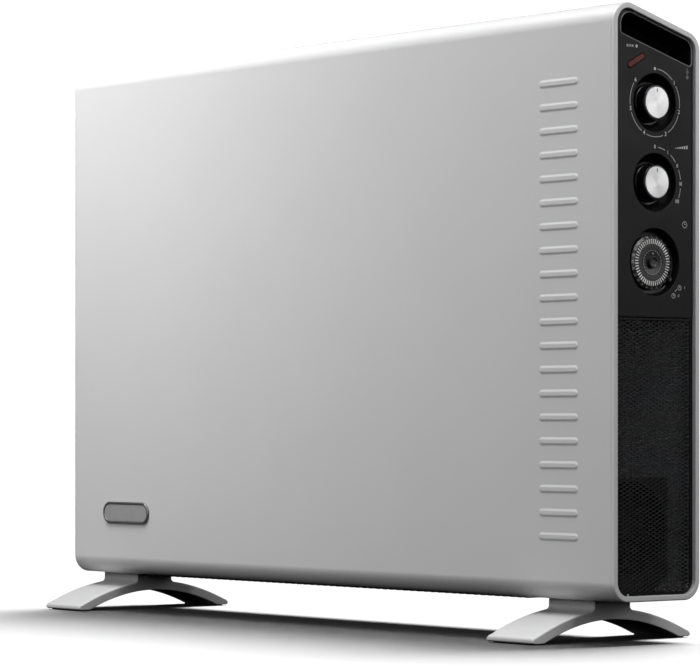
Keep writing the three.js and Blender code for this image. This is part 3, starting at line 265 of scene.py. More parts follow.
class Look:
    """A procedural material on a Principled shader."""

    def __init__(self, name, color, roughness, metallic=0.0, **sockets):
        self.material = bpy.data.materials.new(name)
        self.material.use_nodes = True
        self.shader = self.material.node_tree.nodes["Principled BSDF"]
        self.color = color
        self.roughness = roughness
        self.shader.inputs["Base Color"].default_value = (*color, 1)
        self.shader.inputs["Roughness"].default_value = roughness
        self.shader.inputs["Metallic"].default_value = metallic
        for socket, value in sockets.items():
            self.shader.inputs[socket.replace("_", " ")].default_value = value

    def node(self, kind, **settings):
        return new_node(self.material.node_tree, kind, **settings)

    def link(self, source, target):
        self.material.node_tree.links.new(source, target)

    def noise(self, scale, detail, stretch=(1, 1, 1)):
        place = self.node("ShaderNodeNewGeometry")
        mapping = self.node("ShaderNodeMapping", Scale=stretch)
        self.link(place.outputs["Position"], mapping.inputs["Vector"])
        made = self.node("ShaderNodeTexNoise", Scale=scale, Detail=detail)
        self.link(mapping.outputs["Vector"], made.inputs["Vector"])
        return made.outputs["Fac"]

    def spread(self, value, low, high):
        """The middle half of a noise, spread between two values."""
        made = self.node("ShaderNodeMapRange", From_Min=0.25, From_Max=0.75, To_Min=low, To_Max=high)
        self.link(value, made.inputs["Value"])
        return made.outputs["Result"]

    def vary_roughness(self, value, amount):
        spread = self.spread(value, self.roughness - amount, self.roughness + amount)
        self.link(spread, self.shader.inputs["Roughness"])
        return self

    def vary_color(self, value, other):
        mix = self.node("ShaderNodeMix", data_type="RGBA", A=(*self.color, 1), B=(*other, 1))
        self.link(self.spread(value, 0, 1), mix.inputs["Factor"])
        self.link(mix.outputs["Result"], self.shader.inputs["Base Color"])
        return self

    def bump(self, value, distance):
        made = self.node("ShaderNodeBump", Strength=1, Distance=distance * MM)
        self.link(value, made.inputs["Height"])
        self.link(made.outputs["Normal"], self.shader.inputs["Normal"])


def paint(name, color, roughness, **sockets):
    """Smooth spray paint: a faint orange peel and a slight unevenness of gloss."""
    look = Look(name, color, roughness, **sockets)
    look.bump(look.noise(420, 2), 0.004)
    look.vary_roughness(look.noise(9, 2), 0.03)
    darker = tuple(c * 0.975 for c in color)
    return look.vary_color(look.noise(14, 4), darker).material


def moulding(name, color, roughness, grain=0.012, **sockets):
    """Moulded plastic with a fine spark-eroded grain."""
    look = Look(name, color, roughness, **sockets)
    look.bump(look.noise(1700, 2), grain)
    look.vary_roughness(look.noise(35, 3), 0.04)
    lighter = tuple(min(1.0, c * 1.18 + 0.001) for c in color)
    return look.vary_color(look.noise(22, 3), lighter).material


def metal(name, color, roughness, stretch=(1, 1, 1), scale=900.0, depth=0.006, metallic=1.0):
    """Metal with lines or grain, stretched along one way."""
    look = Look(name, color, roughness, metallic)
    grain = look.noise(scale, 4, stretch)
    look.bump(grain, depth)
    look.vary_roughness(grain, 0.08)
    darker = tuple(c * 0.86 for c in color)
    return look.vary_color(look.noise(60, 3), darker).material


silver_paint = paint("silver_paint", (0.58, 0.58, 0.585), 0.42, Coat_Weight=0.15)
rim_paint = paint("rim_paint", (0.60, 0.60, 0.605), 0.36, Coat_Weight=0.2)
foot_paint = paint("foot_paint", (0.55, 0.55, 0.555), 0.34, Coat_Weight=0.15)
panel_black = moulding("panel_black", (0.0075, 0.0075, 0.0078), 0.42, Specular_IOR_Level=0.2)
# Faces inside the dishes and the pocket: a smoother moulding whose darker colour is painted shade in the
# recesses
recess_shade_black = moulding("recess_shade_black", (0.0035, 0.0035, 0.0035), 0.32, 0.004, Specular_IOR_Level=0.3)
# The pocket's bead: its grey on the black moulding is a painted highlight
lip_highlight_grey = moulding("lip_highlight_grey", (0.16, 0.16, 0.16), 0.3, 0.003)
grille_black = moulding("grille_black", (0.016, 0.016, 0.017), 0.5)
mesh_black = paint("mesh_black", (0.003, 0.003, 0.003), 0.36, Specular_IOR_Level=0.25)
knob_black = moulding("knob_black", (0.005, 0.005, 0.005), 0.24, 0.003, Specular_IOR_Level=0.35)
timer_dark = moulding("timer_dark", (0.014, 0.014, 0.014), 0.3, 0.004)
timer_white = moulding("timer_white", (0.86, 0.86, 0.84), 0.45, 0.004)
print_white = moulding("print_white", (0.50, 0.50, 0.50), 0.5, 0.003)
print_grey = moulding("print_grey", (0.17, 0.17, 0.17), 0.5, 0.003)
print_dial = moulding("print_dial", (0.36, 0.36, 0.36), 0.5, 0.003)
print_black = moulding("print_black", (0.02, 0.02, 0.022), 0.4, 0.003)
badge_edge = metal("badge_edge", (0.17, 0.17, 0.175), 0.3, metallic=0.5)
badge_field = metal("badge_field", (0.40, 0.40, 0.405), 0.4, (1, 30, 30), 300, metallic=0.25)
rubber = moulding("rubber", (0.02, 0.02, 0.02), 0.75, 0.02)
steel = metal("steel", (0.50, 0.50, 0.51), 0.34)
# Galvanised steel darkened far below its own tone: painted shade inside the casing, seen through the
# meshes
shaded_galvanised = metal("shaded_galvanised", (0.12, 0.122, 0.125), 0.55, (1, 1, 1), 160, 0.02, 0.6)
extruded = metal("extruded", (0.42, 0.43, 0.44), 0.4, (0.05, 1, 1), 700, 0.02)
ceramic = moulding("ceramic", (0.72, 0.70, 0.64), 0.3, 0.004)
switch_cream = moulding("switch_cream", (0.52, 0.48, 0.40), 0.45)


def spun_aluminium():
    """Face-turned metal: rings too fine to see one by one stretch each reflection into a fan."""
    look = Look("spun_aluminium", (0.86, 0.86, 0.868), 0.4, 1.0, Anisotropic=0.6)
    tangent = look.node("ShaderNodeTangent", direction_type="RADIAL", axis="X")
    look.link(tangent.outputs["Tangent"], look.shader.inputs["Tangent"])
    look.bump(look.noise(2500, 2), 0.002)
    return look.vary_roughness(look.noise(300, 3), 0.03).material


def lamp_lens():
    look = Look("lamp_lens", (0.085, 0.012, 0.011), 0.4, Specular_IOR_Level=0.25)
    look.bump(look.noise(500, 1), 0.01)
    return look.vary_color(look.noise(250, 2), (0.11, 0.024, 0.022)).material


cap_metal = spun_aluminium()
lens_red = lamp_lens()

# ---- casing sheets


def bend(centre, radius, start, end, steps):
    """The points of an arc, each with its normal's angle."""
    points = arc(centre, radius, start, end, steps)
    return [(p, start + (end - start) * i / steps) for i, p in enumerate(points)]


def sheet_section(path):
    """A bent sheet's section, from the points and normals of its outer face."""
    outer = [point for point, _ in path]
    inner = [
        (y - SHEET * cos(angle), z - SHEET * sin(angle)) for (y, z), angle in path
    ]
    return outer + inner[::-1]


def front_section():
    slope_length = 2 * (HALF_DEPTH - CORNER) / cos(SLOPE)
    lip = (slope_length - TOP_OPENING) / 2
    down = -pi / 2
    low = (-LIP_Y - LIP_BEND, UNDERSIDE + LIP_BEND)
    top = on_slope(lip - LIP_BEND, LIP_BEND)
    return sheet_section(
        [
            ((-LIP_Y, UNDERSIDE + FLANGE), 0),
            *bend(low, LIP_BEND, 0, down, 6),
            *bend(FRONT_LOW, CORNER, down, -pi, 24),
            *bend(FRONT_TOP, CORNER, pi, SLOPE_NORMAL, 24),
            *bend(top, LIP_BEND, SLOPE_NORMAL, -SLOPE, 6),
            (on_slope(lip, FLANGE), -SLOPE),
        ]
    )


END_BAND = 0.5
RIB_X, RIB_LENGTH, RIB_WIDTH, RIB_RISE, RIB_EDGE = 290, 44, 6.8, 0.6, 2.3
RIB_COUNT, RIB_FIRST, RIB_PITCH = 20, UNDERSIDE + 47, 17.8


def pressed_rib(solid, height):
    """A pressed rib: its sides leave the sheet and meet the flat top without a crease."""
    steps = 8
    rings = []
    for i in range(-1, steps + 1):
        share = max(i, 0) / steps
        rise = RIB_RISE * (0.5 - 0.5 * cos(pi * share)) if i >= 0 else -SHEET / 2
        shrink = RIB_EDGE * share
        outline = pill(
            (RIB_X, height), RIB_LENGTH - 2 * shrink, RIB_WIDTH - 2 * shrink, 0, 10
        )
        rings.append([(x, -HALF_DEPTH - rise, z) for x, z in outline])
    solid.rings(rings)


def front_panel():
    solid = Solid()
    section = front_section()
    stations = (-SHEET_END, -SHEET_END + END_BAND, SHEET_END - END_BAND, SHEET_END)
    solid.rings([[(x, y, z) for y, z in section] for x in stations])
    for i in range(RIB_COUNT):
        pressed_rib(solid, RIB_FIRST + i * RIB_PITCH)
    add_piece("front_sheet", solid, silver_paint, replaces=["front_panel"])


# ---- end frames


OUTER_ROUND, INNER_ROUND = 1.3, 0.6
SEAT_WIDTH, SEAT_THICKNESS, SEAT_GAP = 1.6, 2, 0.3
TONGUE_OUTER, TONGUE_INNER, TONGUE_END = 1.3, 3.3, -12


def frame_section():
    """Inset and height: the rim, the seat behind the panel and the tongue inside the sheets."""
    outer_round = arc((OUTER_ROUND, -OUTER_ROUND), OUTER_ROUND, pi, pi / 2, 6)
    inner_round = arc((RIM_WIDTH - INNER_ROUND, -INNER_ROUND), INNER_ROUND, pi / 2, 0, 4)
    seat = PANEL_BACK - SEAT_GAP
    return [
        (0, -RIM_DEPTH),
        *outer_round,
        *inner_round,
        (RIM_WIDTH, seat),
        (RIM_WIDTH + SEAT_WIDTH, seat),
        (RIM_WIDTH + SEAT_WIDTH, seat - SEAT_THICKNESS),
        (TONGUE_INNER, seat - SEAT_THICKNESS),
        (TONGUE_INNER, TONGUE_END),
        (TONGUE_OUTER, TONGUE_END),
        (TONGUE_OUTER, -RIM_DEPTH),
    ]


def end_frame(name, side):
    solid = Solid()
    solid.rings(
        [end_points(casing_outline(inset), height, side) for inset, height in frame_section()],
        closed=True,
    )
    add_piece(name + "_rim", solid, rim_paint, replaces=[name])


# ---- end panels


def clipped_outline(inset, low):
    """The end outline above a level edge."""
    points = [p for p in casing_outline(inset) if p[1] > low + 1]
    reach = HALF_DEPTH - inset
    return [(-reach, low), (reach, low), *points]


PANEL_LOW = MESH_TOP + 0.3
PANEL_ROUND = 0.9
POCKET_MARGIN = 2.0
POCKET_HEIGHT = 16.5
POCKET_CORNER = 2.2
POCKET_FRONT_SHIFT = 3.4
POCKET_REAR_SHIFT = -0.4
LIP_MIDDLE = 0.85
LIP_WIDTH = 1.0
LIP_RISE = 0.45
POCKET_DEPTH = 24.4
POCKET_WALL = 1.6
# Radius at the mouth, radius at the floor, depth and swell of the wall
KNOB_DISH_DEPTH, TIMER_DISH_DEPTH = 8.4, 6.4
KNOB_DISH = (21.5, 16.5, KNOB_DISH_DEPTH, 0.8)
TIMER_DISH = (25, 23.5, TIMER_DISH_DEPTH, 0.1)
DISH_WALL = 2
SPINDLE_BORE = 3.3
LEVER_RADIUS, SLOT_HALF, SLOT_PLAY = 21.45, 1.2, 0.085


def pocket_outline(grow):
    """The mouth of the handle pocket, grown outwards. Its ends lie along the slope of the top."""
    inset = PANEL_INSET + POCKET_MARGIN - grow
    low_radius = POCKET_CORNER + grow
    side = HALF_DEPTH - inset - low_radius
    below = PANEL_INSET + POCKET_MARGIN + POCKET_HEIGHT - POCKET_CORNER
    turn = SLOPE_NORMAL - pi
    front, rear = ((y, slope_height(y, below)) for y in (-side, side))
    return [
        *along_slope(arc(front, low_radius, -pi, turn, 10), POCKET_FRONT_SHIFT),
        *along_slope(arc(rear, low_radius, turn, 0, 10), POCKET_REAR_SHIFT),
        *along_slope(arc(REAR_TOP, CORNER - inset, 0, SLOPE_NORMAL, 12), POCKET_REAR_SHIFT),
        *along_slope(
            arc(FRONT_TOP, CORNER - inset, SLOPE_NORMAL, pi, 12), POCKET_FRONT_SHIFT
        ),
    ]


def along_slope(points, run):
    """Points moved along the slope of the top."""
    return [(y + run, z - run * tan(SLOPE)) for y, z in points]


def dish_profile(radius, floor_radius, depth, swell):
    """Radius and height from the rim of a recess down to its floor, from the panel's face."""
    profile = [(radius + 0.55, 0), (radius + 0.25, -0.08), (radius + 0.06, -0.28)]
    steps = 12
    wall_top, wall_end = 0.6, depth - 0.7
    for i in range(steps + 1):
        t = i / steps
        bulge = swell * sin(pi * t)
        across = radius + (floor_radius + 0.3 - radius) * t + bulge
        profile.append((across, -wall_top - (wall_end - wall_top) * t))
    profile.append((floor_radius - 0.15, -depth + 0.2))
    profile.append((floor_radius - 0.8, -depth))
    return [(r, h + PANEL_FACE) for r, h in profile]


# Centre, length, width and angle
LAMP = ((-18.8, UNDERSIDE + 398.8), 19, 4.4, radians(28.8))


def lamp_outline(grow):
    centre, length, width, angle = LAMP
    return pill(centre, length + 2 * grow, width + 2 * grow, angle, 12)


def lever_slot():
    """The opening in the dish in which the lever travels."""
    start = LEVER_ANGLE - LEVER_TRAVEL - SLOT_PLAY
    end = LEVER_ANGLE + SLOT_PLAY
    outer = arc((0, TIMER_Z), LEVER_RADIUS + SLOT_HALF, start, end, 12)
    return outer + arc((0, TIMER_Z), LEVER_RADIUS - SLOT_HALF, end, start, 12)


def plate_edges(solid, side):
    """The rounded outer edge of an end panel, from its face loop to its back loop."""
    steps = 4
    loops = []
    for i in range(steps + 1):
        angle = pi / 2 * i / steps
        inset = PANEL_INSET + PANEL_ROUND * (1 - sin(angle))
        height = PANEL_FACE - PANEL_ROUND * (1 - cos(angle))
        outline = clipped_outline(inset, PANEL_LOW + inset - PANEL_INSET)
        loops.append(solid.end_loop(outline, height, side))
    loops.append(solid.end_loop(clipped_outline(PANEL_INSET, PANEL_LOW), PANEL_BACK, side))
    solid.chain(loops)
    return loops[0], loops[-1]


def pocket(solid, side):
    """The handle pocket: its rounded rim, walls and floor, and the shell around them."""
    floor = PANEL_FACE - POCKET_DEPTH
    mouth = [(1.2, 0), (0.9, -0.1), (0.6, -0.4), (0.4, -0.8), (0.2, -1.4), (0, -2.2)]
    stages = [(grow, PANEL_FACE + height) for grow, height in mouth]
    stages += [(0, floor + 1.5), (-0.5, floor + 0.4), (-1.5, floor)]
    loops = [solid.end_loop(pocket_outline(grow), height, side) for grow, height in stages]
    solid.chain(loops)
    solid.cap(loops[-1])
    outside = [
        solid.end_loop(pocket_outline(POCKET_WALL), height, side)
        for height in (PANEL_BACK, floor - POCKET_WALL)
    ]
    solid.bridge(*outside)
    solid.cap(outside[1])
    return loops[0], outside[0]


def dish(solid, centre, radius, floor_radius, depth, swell, slot=None):
    """A recess for a control, with the bore through its floor and the shell behind it."""
    inside = [
        solid.end_loop(circle(centre, r, TURNED_SIDES), h)
        for r, h in dish_profile(radius, floor_radius, depth, swell)
    ]
    solid.chain(inside)
    back = PANEL_FACE - depth - DISH_WALL
    outside = [
        solid.end_loop(circle(centre, r + DISH_WALL, TURNED_SIDES), height)
        for r, height in ((radius, PANEL_BACK), (floor_radius, back))
    ]
    solid.bridge(*outside)
    floor_holes, back_holes = [], []
    for hole in [circle(centre, SPINDLE_BORE, 24)] + ([slot] if slot else []):
        top, low = solid.end_loop(hole, PANEL_FACE - depth), solid.end_loop(hole, back)
        solid.bridge(top, low)
        floor_holes.append(top)
        back_holes.append(low)
    solid.fill(inside[-1], *floor_holes)
    solid.fill(outside[1], *back_holes)
    return inside[0], outside[0]


def control_panel():
    solid = Solid()
    face, back = plate_edges(solid, 1)
    holes = [
        pocket(solid, 1),
        dish(solid, (0, THERMOSTAT_Z), *KNOB_DISH),
        dish(solid, (0, SELECTOR_Z), *KNOB_DISH),
        dish(solid, (0, TIMER_Z), *TIMER_DISH, lever_slot()),
    ]
    lamp = [
        solid.end_loop(lamp_outline(grow), height)
        for grow, height in ((0.7, PANEL_FACE), (0.35, PANEL_FACE - 0.35), (0.3, PANEL_BACK))
    ]
    solid.chain(lamp)
    holes.append((lamp[0], lamp[-1]))
    solid.fill(face, *[hole[0] for hole in holes])
    solid.fill(back, *[hole[1] for hole in holes])
    add_piece(
        "control_moulding", solid, panel_black,
        replaces=["control_panel"], inner=recess_shade_black,
    )
    pocket_lip("control_lip", 1)


def left_panel():
    solid = Solid()
    face, back = plate_edges(solid, -1)
    rim, behind = pocket(solid, -1)
    solid.fill(face, rim)
    solid.fill(back, behind)
    add_piece(
        "left_moulding", solid, panel_black,
        replaces=["left_end_panel"], inner=recess_shade_black,
    )
    pocket_lip("left_lip", -1)


def pocket_lip(name, side):
    """The raised bead round the mouth of the handle pocket. Its grey colour is a painted highlight along
    the pocket's edge.
    """
    steps = 6
    rings = []
    for i in range(steps + 1):
        angle = pi * i / steps
        grow = LIP_MIDDLE + LIP_WIDTH / 2 * cos(angle)
        height = PANEL_FACE - 0.1 + LIP_RISE * sin(angle)
        rings.append(end_points(pocket_outline(grow), height, side))
    rings.append(end_points(pocket_outline(LIP_MIDDLE), PANEL_FACE - 0.6, side))
    solid = Solid()
    solid.rings(rings, closed=True)
    add_piece(name, solid, lip_highlight_grey)


# ---- side meshes

MESH_CELL = (6.6, 3.05)
MESH_STRAND = 0.72
MESH_THICKNESS = 0.55
MESH_LIFT = 0.42
MESH_MIDDLE = PANEL_BACK + 0.85
MESH_MARGIN = 0.6


def inside_mesh(y, z, margin):
    """Whether a point lies in the lower end opening, a margin from the end frame."""
    reach = HALF_DEPTH - PANEL_INSET - margin
    radius = CORNER - PANEL_INSET - margin
    low = UNDERSIDE + PANEL_INSET + margin
    if abs(y) > reach or z < low or z > MESH_TOP - margin:
        return False
    corner_y, corner_z = reach - radius, low + radius
    if abs(y) > corner_y and z < corner_z:
        return hypot(abs(y) - corner_y, z - corner_z) < radius
    return True


def expanded_metal(name, side):
    """Staggered diamonds with twisted strands: the top of each opening stands proud."""
    width, height = MESH_CELL
    shrink = 1 - MESH_STRAND * hypot(1 / width, 1 / height)
    half_y, half_z = shrink * width / 2, shrink * height / 2
    solid = Solid()
    holes = {}
    middle_z = (UNDERSIDE + MESH_TOP) / 2
    rows = int((MESH_TOP - UNDERSIDE) / height) + 2
    columns = int(HALF_DEPTH / width) + 2
    for row in range(-rows, rows + 1):
        for column in range(-columns, columns + 1):
            y = (column + (0.5 if row % 2 else 0)) * width
            z = middle_z + row * height / 2
            if not inside_mesh(y, z, MESH_MARGIN):
                continue
            corners = [
                (y + half_y, z, 0),
                (y, z + half_z, MESH_LIFT),
                (y - half_y, z, 0),
                (y, z - half_z, -MESH_LIFT),
            ]
            points = [(side * (FRAME_END + MESH_MIDDLE + h), a, b) for a, b, h in corners]
            holes[(round(2 * y / width), row)] = solid.loop(points)
    for (i, j), (right, top, left, bottom) in holes.items():
        upper_right = holes.get((i + 1, j + 1))
        lower_right = holes.get((i + 1, j - 1))
        far_right = holes.get((i + 2, j))
        if upper_right:
            solid.faces.append((right, upper_right[3], upper_right[2], top))
        if lower_right:
            solid.faces.append((right, bottom, lower_right[2], lower_right[1]))
        if upper_right and lower_right and far_right:
            solid.faces.append((right, lower_right[1], far_right[2], upper_right[3]))
    piece = add_piece(
        name + "_expanded", solid, mesh_black, replaces=[name], sharp=60
    )
    thick = piece.modifiers.new("thickness", "SOLIDIFY")
    thick.thickness = MESH_THICKNESS * MM
    thick.offset = 0
    piece.modifiers.move(1, 0)


def mesh_border(name, side):
    """The plain edge of the mesh, folded flat round its four sides."""
    solid = Solid()
    rings = []
    for inset, height in ((0, 0.1), (0, 1.5), (0.3, 1.7), (1.5, 1.7), (1.8, 1.5), (1.8, 0.1)):
        outline = [p for p in casing_outline(PANEL_INSET + inset) if p[1] < MESH_TOP / 2]
        reach = HALF_DEPTH - PANEL_INSET - inset
        outline += [(reach, MESH_TOP - inset), (-reach, MESH_TOP - inset)]
        rings.append(end_points(outline, PANEL_BACK + height, side))
    solid.rings(rings, closed=True)
    add_piece(name + "_border", solid, mesh_black, replaces=[name])


# ---- knobs

KNOB_GAP = 0.9
KNOB_BASE = PANEL_FACE - KNOB_DISH_DEPTH + KNOB_GAP
SKIRT_RADIUS = 14.5
CAP_RADIUS = 11.75
CAP_PLAY = 0.3
CAP_BACK = -1.2
KNOB_FACE = CAP_BACK - 0.3
INDEX_HALF, INDEX_START, INDEX_END = 0.42, 7.6, 10.3


def knob(name, z):
    """A black skirt round a spun cap, with a short index line."""
    body = name + "_knob"
    centre = (0, z)
    skirt = Solid()
    recess = CAP_RADIUS + CAP_PLAY
    profile = [
        (SPINDLE_BORE, KNOB_BASE),
        (SKIRT_RADIUS - 0.3, KNOB_BASE),
        (SKIRT_RADIUS, KNOB_BASE + 0.3),
        (SKIRT_RADIUS, KNOB_BASE + 1.2),
        (SKIRT_RADIUS - 0.2, KNOB_BASE + 1.5),
        (SKIRT_RADIUS - 0.75, KNOB_BASE + 1.9),
        (SKIRT_RADIUS - 1.0, KNOB_BASE + 2.6),
        (SKIRT_RADIUS - 1.2, -1.3),
        (SKIRT_RADIUS - 1.28, -0.85),
        (SKIRT_RADIUS - 1.5, -0.55),
        (recess + 0.6, -0.4),
        (recess + 0.1, -0.42),
        (recess, -0.6),
        (recess, KNOB_FACE),
        (SPINDLE_BORE, KNOB_FACE),
    ]
    turned(skirt, profile, centre)
    add_piece(body + "_skirt", skirt, knob_black, body, [body])
    cap = Solid()
    profile = [
        (CAP_RADIUS, CAP_BACK),
        (CAP_RADIUS, -0.3),
        (CAP_RADIUS - 0.07, -0.12),
        (CAP_RADIUS - 0.25, -0.02),
        (CAP_RADIUS - 0.45, 0),
        (CAP_RADIUS - 0.85, -0.01),
    ]
    turned(cap, profile, centre)
    add_piece(body + "_face", cap, cap_metal, body, [body + "_cap"])
    mark = Solid()
    outline = [
        (-INDEX_HALF, z + INDEX_START),
        (INDEX_HALF, z + INDEX_START),
        (INDEX_HALF, z + INDEX_END),
        (-INDEX_HALF, z + INDEX_END),
    ]
    mark.rings([end_points(outline, height) for height in (-0.2, 0)])
    add_piece(body + "_index", mark, print_black, body)


# ---- timer

DIAL_GAP = 0.9
DIAL_THICKNESS = 2.8
DIAL_FACE = PANEL_FACE - TIMER_DISH_DEPTH + DIAL_GAP + DIAL_THICKNESS
DIAL_RADIUS = 20.25
TROUGH_INNER, TROUGH_OUTER, TROUGH_DEPTH = 13.9, 17.6, 0.4
SEGMENT_COUNT, SEGMENT_WIDTH, SEGMENT_RISE = 48, 0.78, 0.15
SEGMENT_TAPER = 0.1
KNOB_RADIUS = 4.5
GROOVE_RADIUS = 10.05
# The dial's sloping edge, where its numbers lie
EDGE_SLOPE = 0.64
NUMBER_RADIUS, NUMBER_SIZE, NUMBER_DROP = 19.05, 2.2, 0.55
DASH_RADIUS, DASH_WIDTH, DASH_ANGLE = 9.0, 0.4, 9
HOURS = 24


def segment_bars(solid, centre):
    """Upright bars set radially in the dial's trough, a little narrower towards the middle."""
    inner, outer, width = TROUGH_INNER, TROUGH_OUTER - 0.2, SEGMENT_WIDTH
    low, high, taper = DIAL_FACE - TROUGH_DEPTH, DIAL_FACE + SEGMENT_RISE, SEGMENT_TAPER
    for i in range(SEGMENT_COUNT):
        angle = 2 * pi * (i + 0.5) / SEGMENT_COUNT
        direction = (cos(angle), sin(angle))
        across = (-direction[1], direction[0])
        rings = []
        for height, shrink in ((low, 0), (high - taper, 0), (high, taper)):
            ring = []
            for radius, half in (
                (inner + shrink, -width / 2 * inner / outer + shrink),
                (outer - shrink, -width / 2 + shrink),
                (outer - shrink, width / 2 - shrink),
                (inner + shrink, width / 2 * inner / outer - shrink),
            ):
                y = centre[0] + direction[0] * radius + across[0] * half
                z = centre[1] + direction[1] * radius + across[1] * half
                ring.append((y, z))
            rings.append(end_points(ring, height))
        solid.rings(rings)


def timer():
    centre = (0, TIMER_Z)
    dial = Solid()
    profile = [
        (3, -3),
        (DIAL_RADIUS - 0.35, -DIAL_THICKNESS),
        (DIAL_RADIUS - 0.05, -2.5),
        (DIAL_RADIUS, -1.5),
        (DIAL_RADIUS - 0.25, -1.2),
        (TROUGH_OUTER + 0.6, -0.05),
        (TROUGH_OUTER + 0.3, 0),
        (TROUGH_OUTER, 0),
        (TROUGH_OUTER, -TROUGH_DEPTH),
        (TROUGH_INNER, -TROUGH_DEPTH),
        (TROUGH_INNER, -0.1),
        (TROUGH_INNER - 0.3, 0),
        (GROOVE_RADIUS + 0.35, -0.1),
        (GROOVE_RADIUS + 0.15, -0.35),
        (GROOVE_RADIUS - 0.15, -0.35),
        (GROOVE_RADIUS - 0.35, -0.1),
        (KNOB_RADIUS + 0.9, -0.45),
        (KNOB_RADIUS + 0.25, -0.5),
        (KNOB_RADIUS, -0.2),
        (KNOB_RADIUS - 0.05, 1.4),
        (KNOB_RADIUS - 0.2, 1.7),
        (KNOB_RADIUS - 0.5, 1.8),
        (KNOB_RADIUS - 0.8, 1.75),
        (KNOB_RADIUS - 1.6, 1.1),
        (KNOB_RADIUS - 3, 0.95),
    ]
    turned(dial, [(radius, DIAL_FACE + height) for radius, height in profile], centre)
    add_piece("timer_dial_face", dial, timer_dark, "timer_dial", ["timer_dial"])
    bars = Solid()
    segment_bars(bars, centre)
    replaced = ["timer_segment_ring"]
    add_piece("timer_segments", bars, timer_white, "timer_dial", replaced)


# ---- printed marks


def glyphs(text, size, bold):
    """Points and faces of a text in the built-in font, centred on the origin."""
    curve = bpy.data.curves.new("glyphs", "FONT")
    curve.body = text
    curve.size = size
    curve.align_x = "CENTER"
    curve.align_y = "CENTER"
    curve.resolution_u = 3
    curve.offset = bold
    holder = new_object("glyphs", curve)
    bpy.context.view_layer.update()
    mesh = bpy.data.meshes.new_from_object(
        holder.evaluated_get(bpy.context.evaluated_depsgraph_get())
    )
    points = [(v.co.x, v.co.y) for v in mesh.vertices]
    faces = [tuple(p.vertices) for p in mesh.polygons]
    bpy.data.objects.remove(holder)
    bpy.data.curves.remove(curve)
    bpy.data.meshes.remove(mesh)
    return points, faces


def add_text(solid, text, size, centre, height, turn=0.0, bold=0.0, tilt=0.0):
    """Text on an end face. Tilt is how fast its plane falls towards the top of the text."""
    points, faces = glyphs(text, size, bold)
    cosine, sine = cos(turn), sin(turn)
    loop = solid.loop(
        (
            FRAME_END + height - z * tilt,
            centre[0] + y * cosine - z * sine,
            centre[1] + y * sine + z * cosine,
        )
        for y, z in points
    )
    solid.faces.extend(tuple(loop[i] for i in face) for face in faces)


def add_patch(solid, outline, height):
    solid.cap(solid.end_loop(outline, height))


def add_ribbon(solid, centre, radius, width, start, end, height):
    """A printed arc. Angles run clockwise from the top, in degrees."""
    steps = max(2, int(abs(end - start) / 4))
    a, b = (radians(90 - angle) for angle in (start, end))
    inner = solid.end_loop(arc(centre, radius - width / 2, a, b, steps), height)
    outer = solid.end_loop(arc(centre, radius + width / 2, a, b, steps), height)
    solid.strip(inner, outer)


def at_clock(centre, radius, angle):
    """A point round a centre, in degrees clockwise from the top."""
    turn = radians(90 - angle)
    return (centre[0] + radius * cos(turn), centre[1] + radius * sin(turn))


def add_line(solid, start, end, width, height):
    dy, dz = end[0] - start[0], end[1] - start[1]
    length = hypot(dy, dz)
    ny, nz = -dz / length * width / 2, dy / length * width / 2
    outline = [
        (start[0] + ny, start[1] + nz),
        (end[0] + ny, end[1] + nz),
        (end[0] - ny, end[1] - nz),
        (start[0] - ny, start[1] - nz),
    ]
    add_patch(solid, outline, height)


INK = PANEL_FACE + 0.04
SCALE_LINE, SIGN_LINE = 0.42, 0.35
# Radius, degrees from sign to sign, gap beside a sign, size and boldness of the signs
THERMOSTAT_SCALE = (25.2, 51.5, 6.5, 4.4, 0.06)
SELECTOR_SCALE = (26.4, 30, 7, 3.8, 0.05)
STAIR_Y, STAIR_Z, STAIR_PITCH, STAIR_WIDTH = 20.5, 368, 2.3, 1.5
BLOCK_Y, BLOCK_Z, BLOCK_PITCH, BLOCK_WIDTH, BLOCK_HEIGHT = -28.5, 440.6, 1.9, 0.9, 1.8
CLOCK_ON, CLOCK_OFF = (25.2, 264.5), (19.0, 258.4)


def clock_sign(solid, centre, radius):
    y, z = centre
    add_ribbon(solid, centre, radius, SIGN_LINE, 0, 360, INK)
    add_line(solid, centre, (y, z + radius * 0.75), SIGN_LINE, INK)
    add_line(solid, centre, (y + radius * 0.6, z), SIGN_LINE, INK)


def scale(solid, z, signs, radius, step, gap, size, bold):
    """Signs round a knob with arcs between them. A dot stands for an empty sign."""
    for i, sign in enumerate(signs):
        angle = step * i
        place = at_clock((0, z), radius, angle)
        if sign:
            add_text(solid, sign, size, place, INK, bold=bold)
        else:
            add_patch(solid, circle(place, 1.15, 16), INK)
        if i:
            add_ribbon(solid, (0, z), radius, SCALE_LINE, angle - step + gap, angle - gap, INK)


def rising_bars(solid):
    """Six bars, each taller than the one before."""
    for i in range(6):
        y = STAIR_Y + i * STAIR_PITCH
        top = STAIR_Z + 0.6 + 0.42 * i
        end = y + STAIR_WIDTH
        add_patch(solid, [(y, STAIR_Z), (end, STAIR_Z), (end, top), (y, top - 0.3)], INK)


def timer_signs(solid):
    clock_sign(solid, (30.5, 311.6), 2.3)
    clock_sign(solid, CLOCK_ON, 1.7)
    clock_sign(solid, CLOCK_OFF, 1.7)
    add_text(solid, "I", 3.0, (CLOCK_ON[0] + 5.2, CLOCK_ON[1]), INK)
    add_text(solid, "0", 3.0, (CLOCK_OFF[0] + 5.2, CLOCK_OFF[1]), INK)
    add_line(solid, (22.6, 263.4), (20.2, 261.4), SCALE_LINE, INK)


def lamp_sign(solid):
    """Four small blocks and a dot above the lamp."""
    for i in range(4):
        y = BLOCK_Y + i * BLOCK_PITCH
        end, top = y + BLOCK_WIDTH, BLOCK_Z + BLOCK_HEIGHT
        add_patch(solid, [(y, BLOCK_Z), (end, BLOCK_Z), (end, top), (y, top)], INK)
    add_patch(solid, circle((-18.6, 441.5), 1.2, 16), INK)


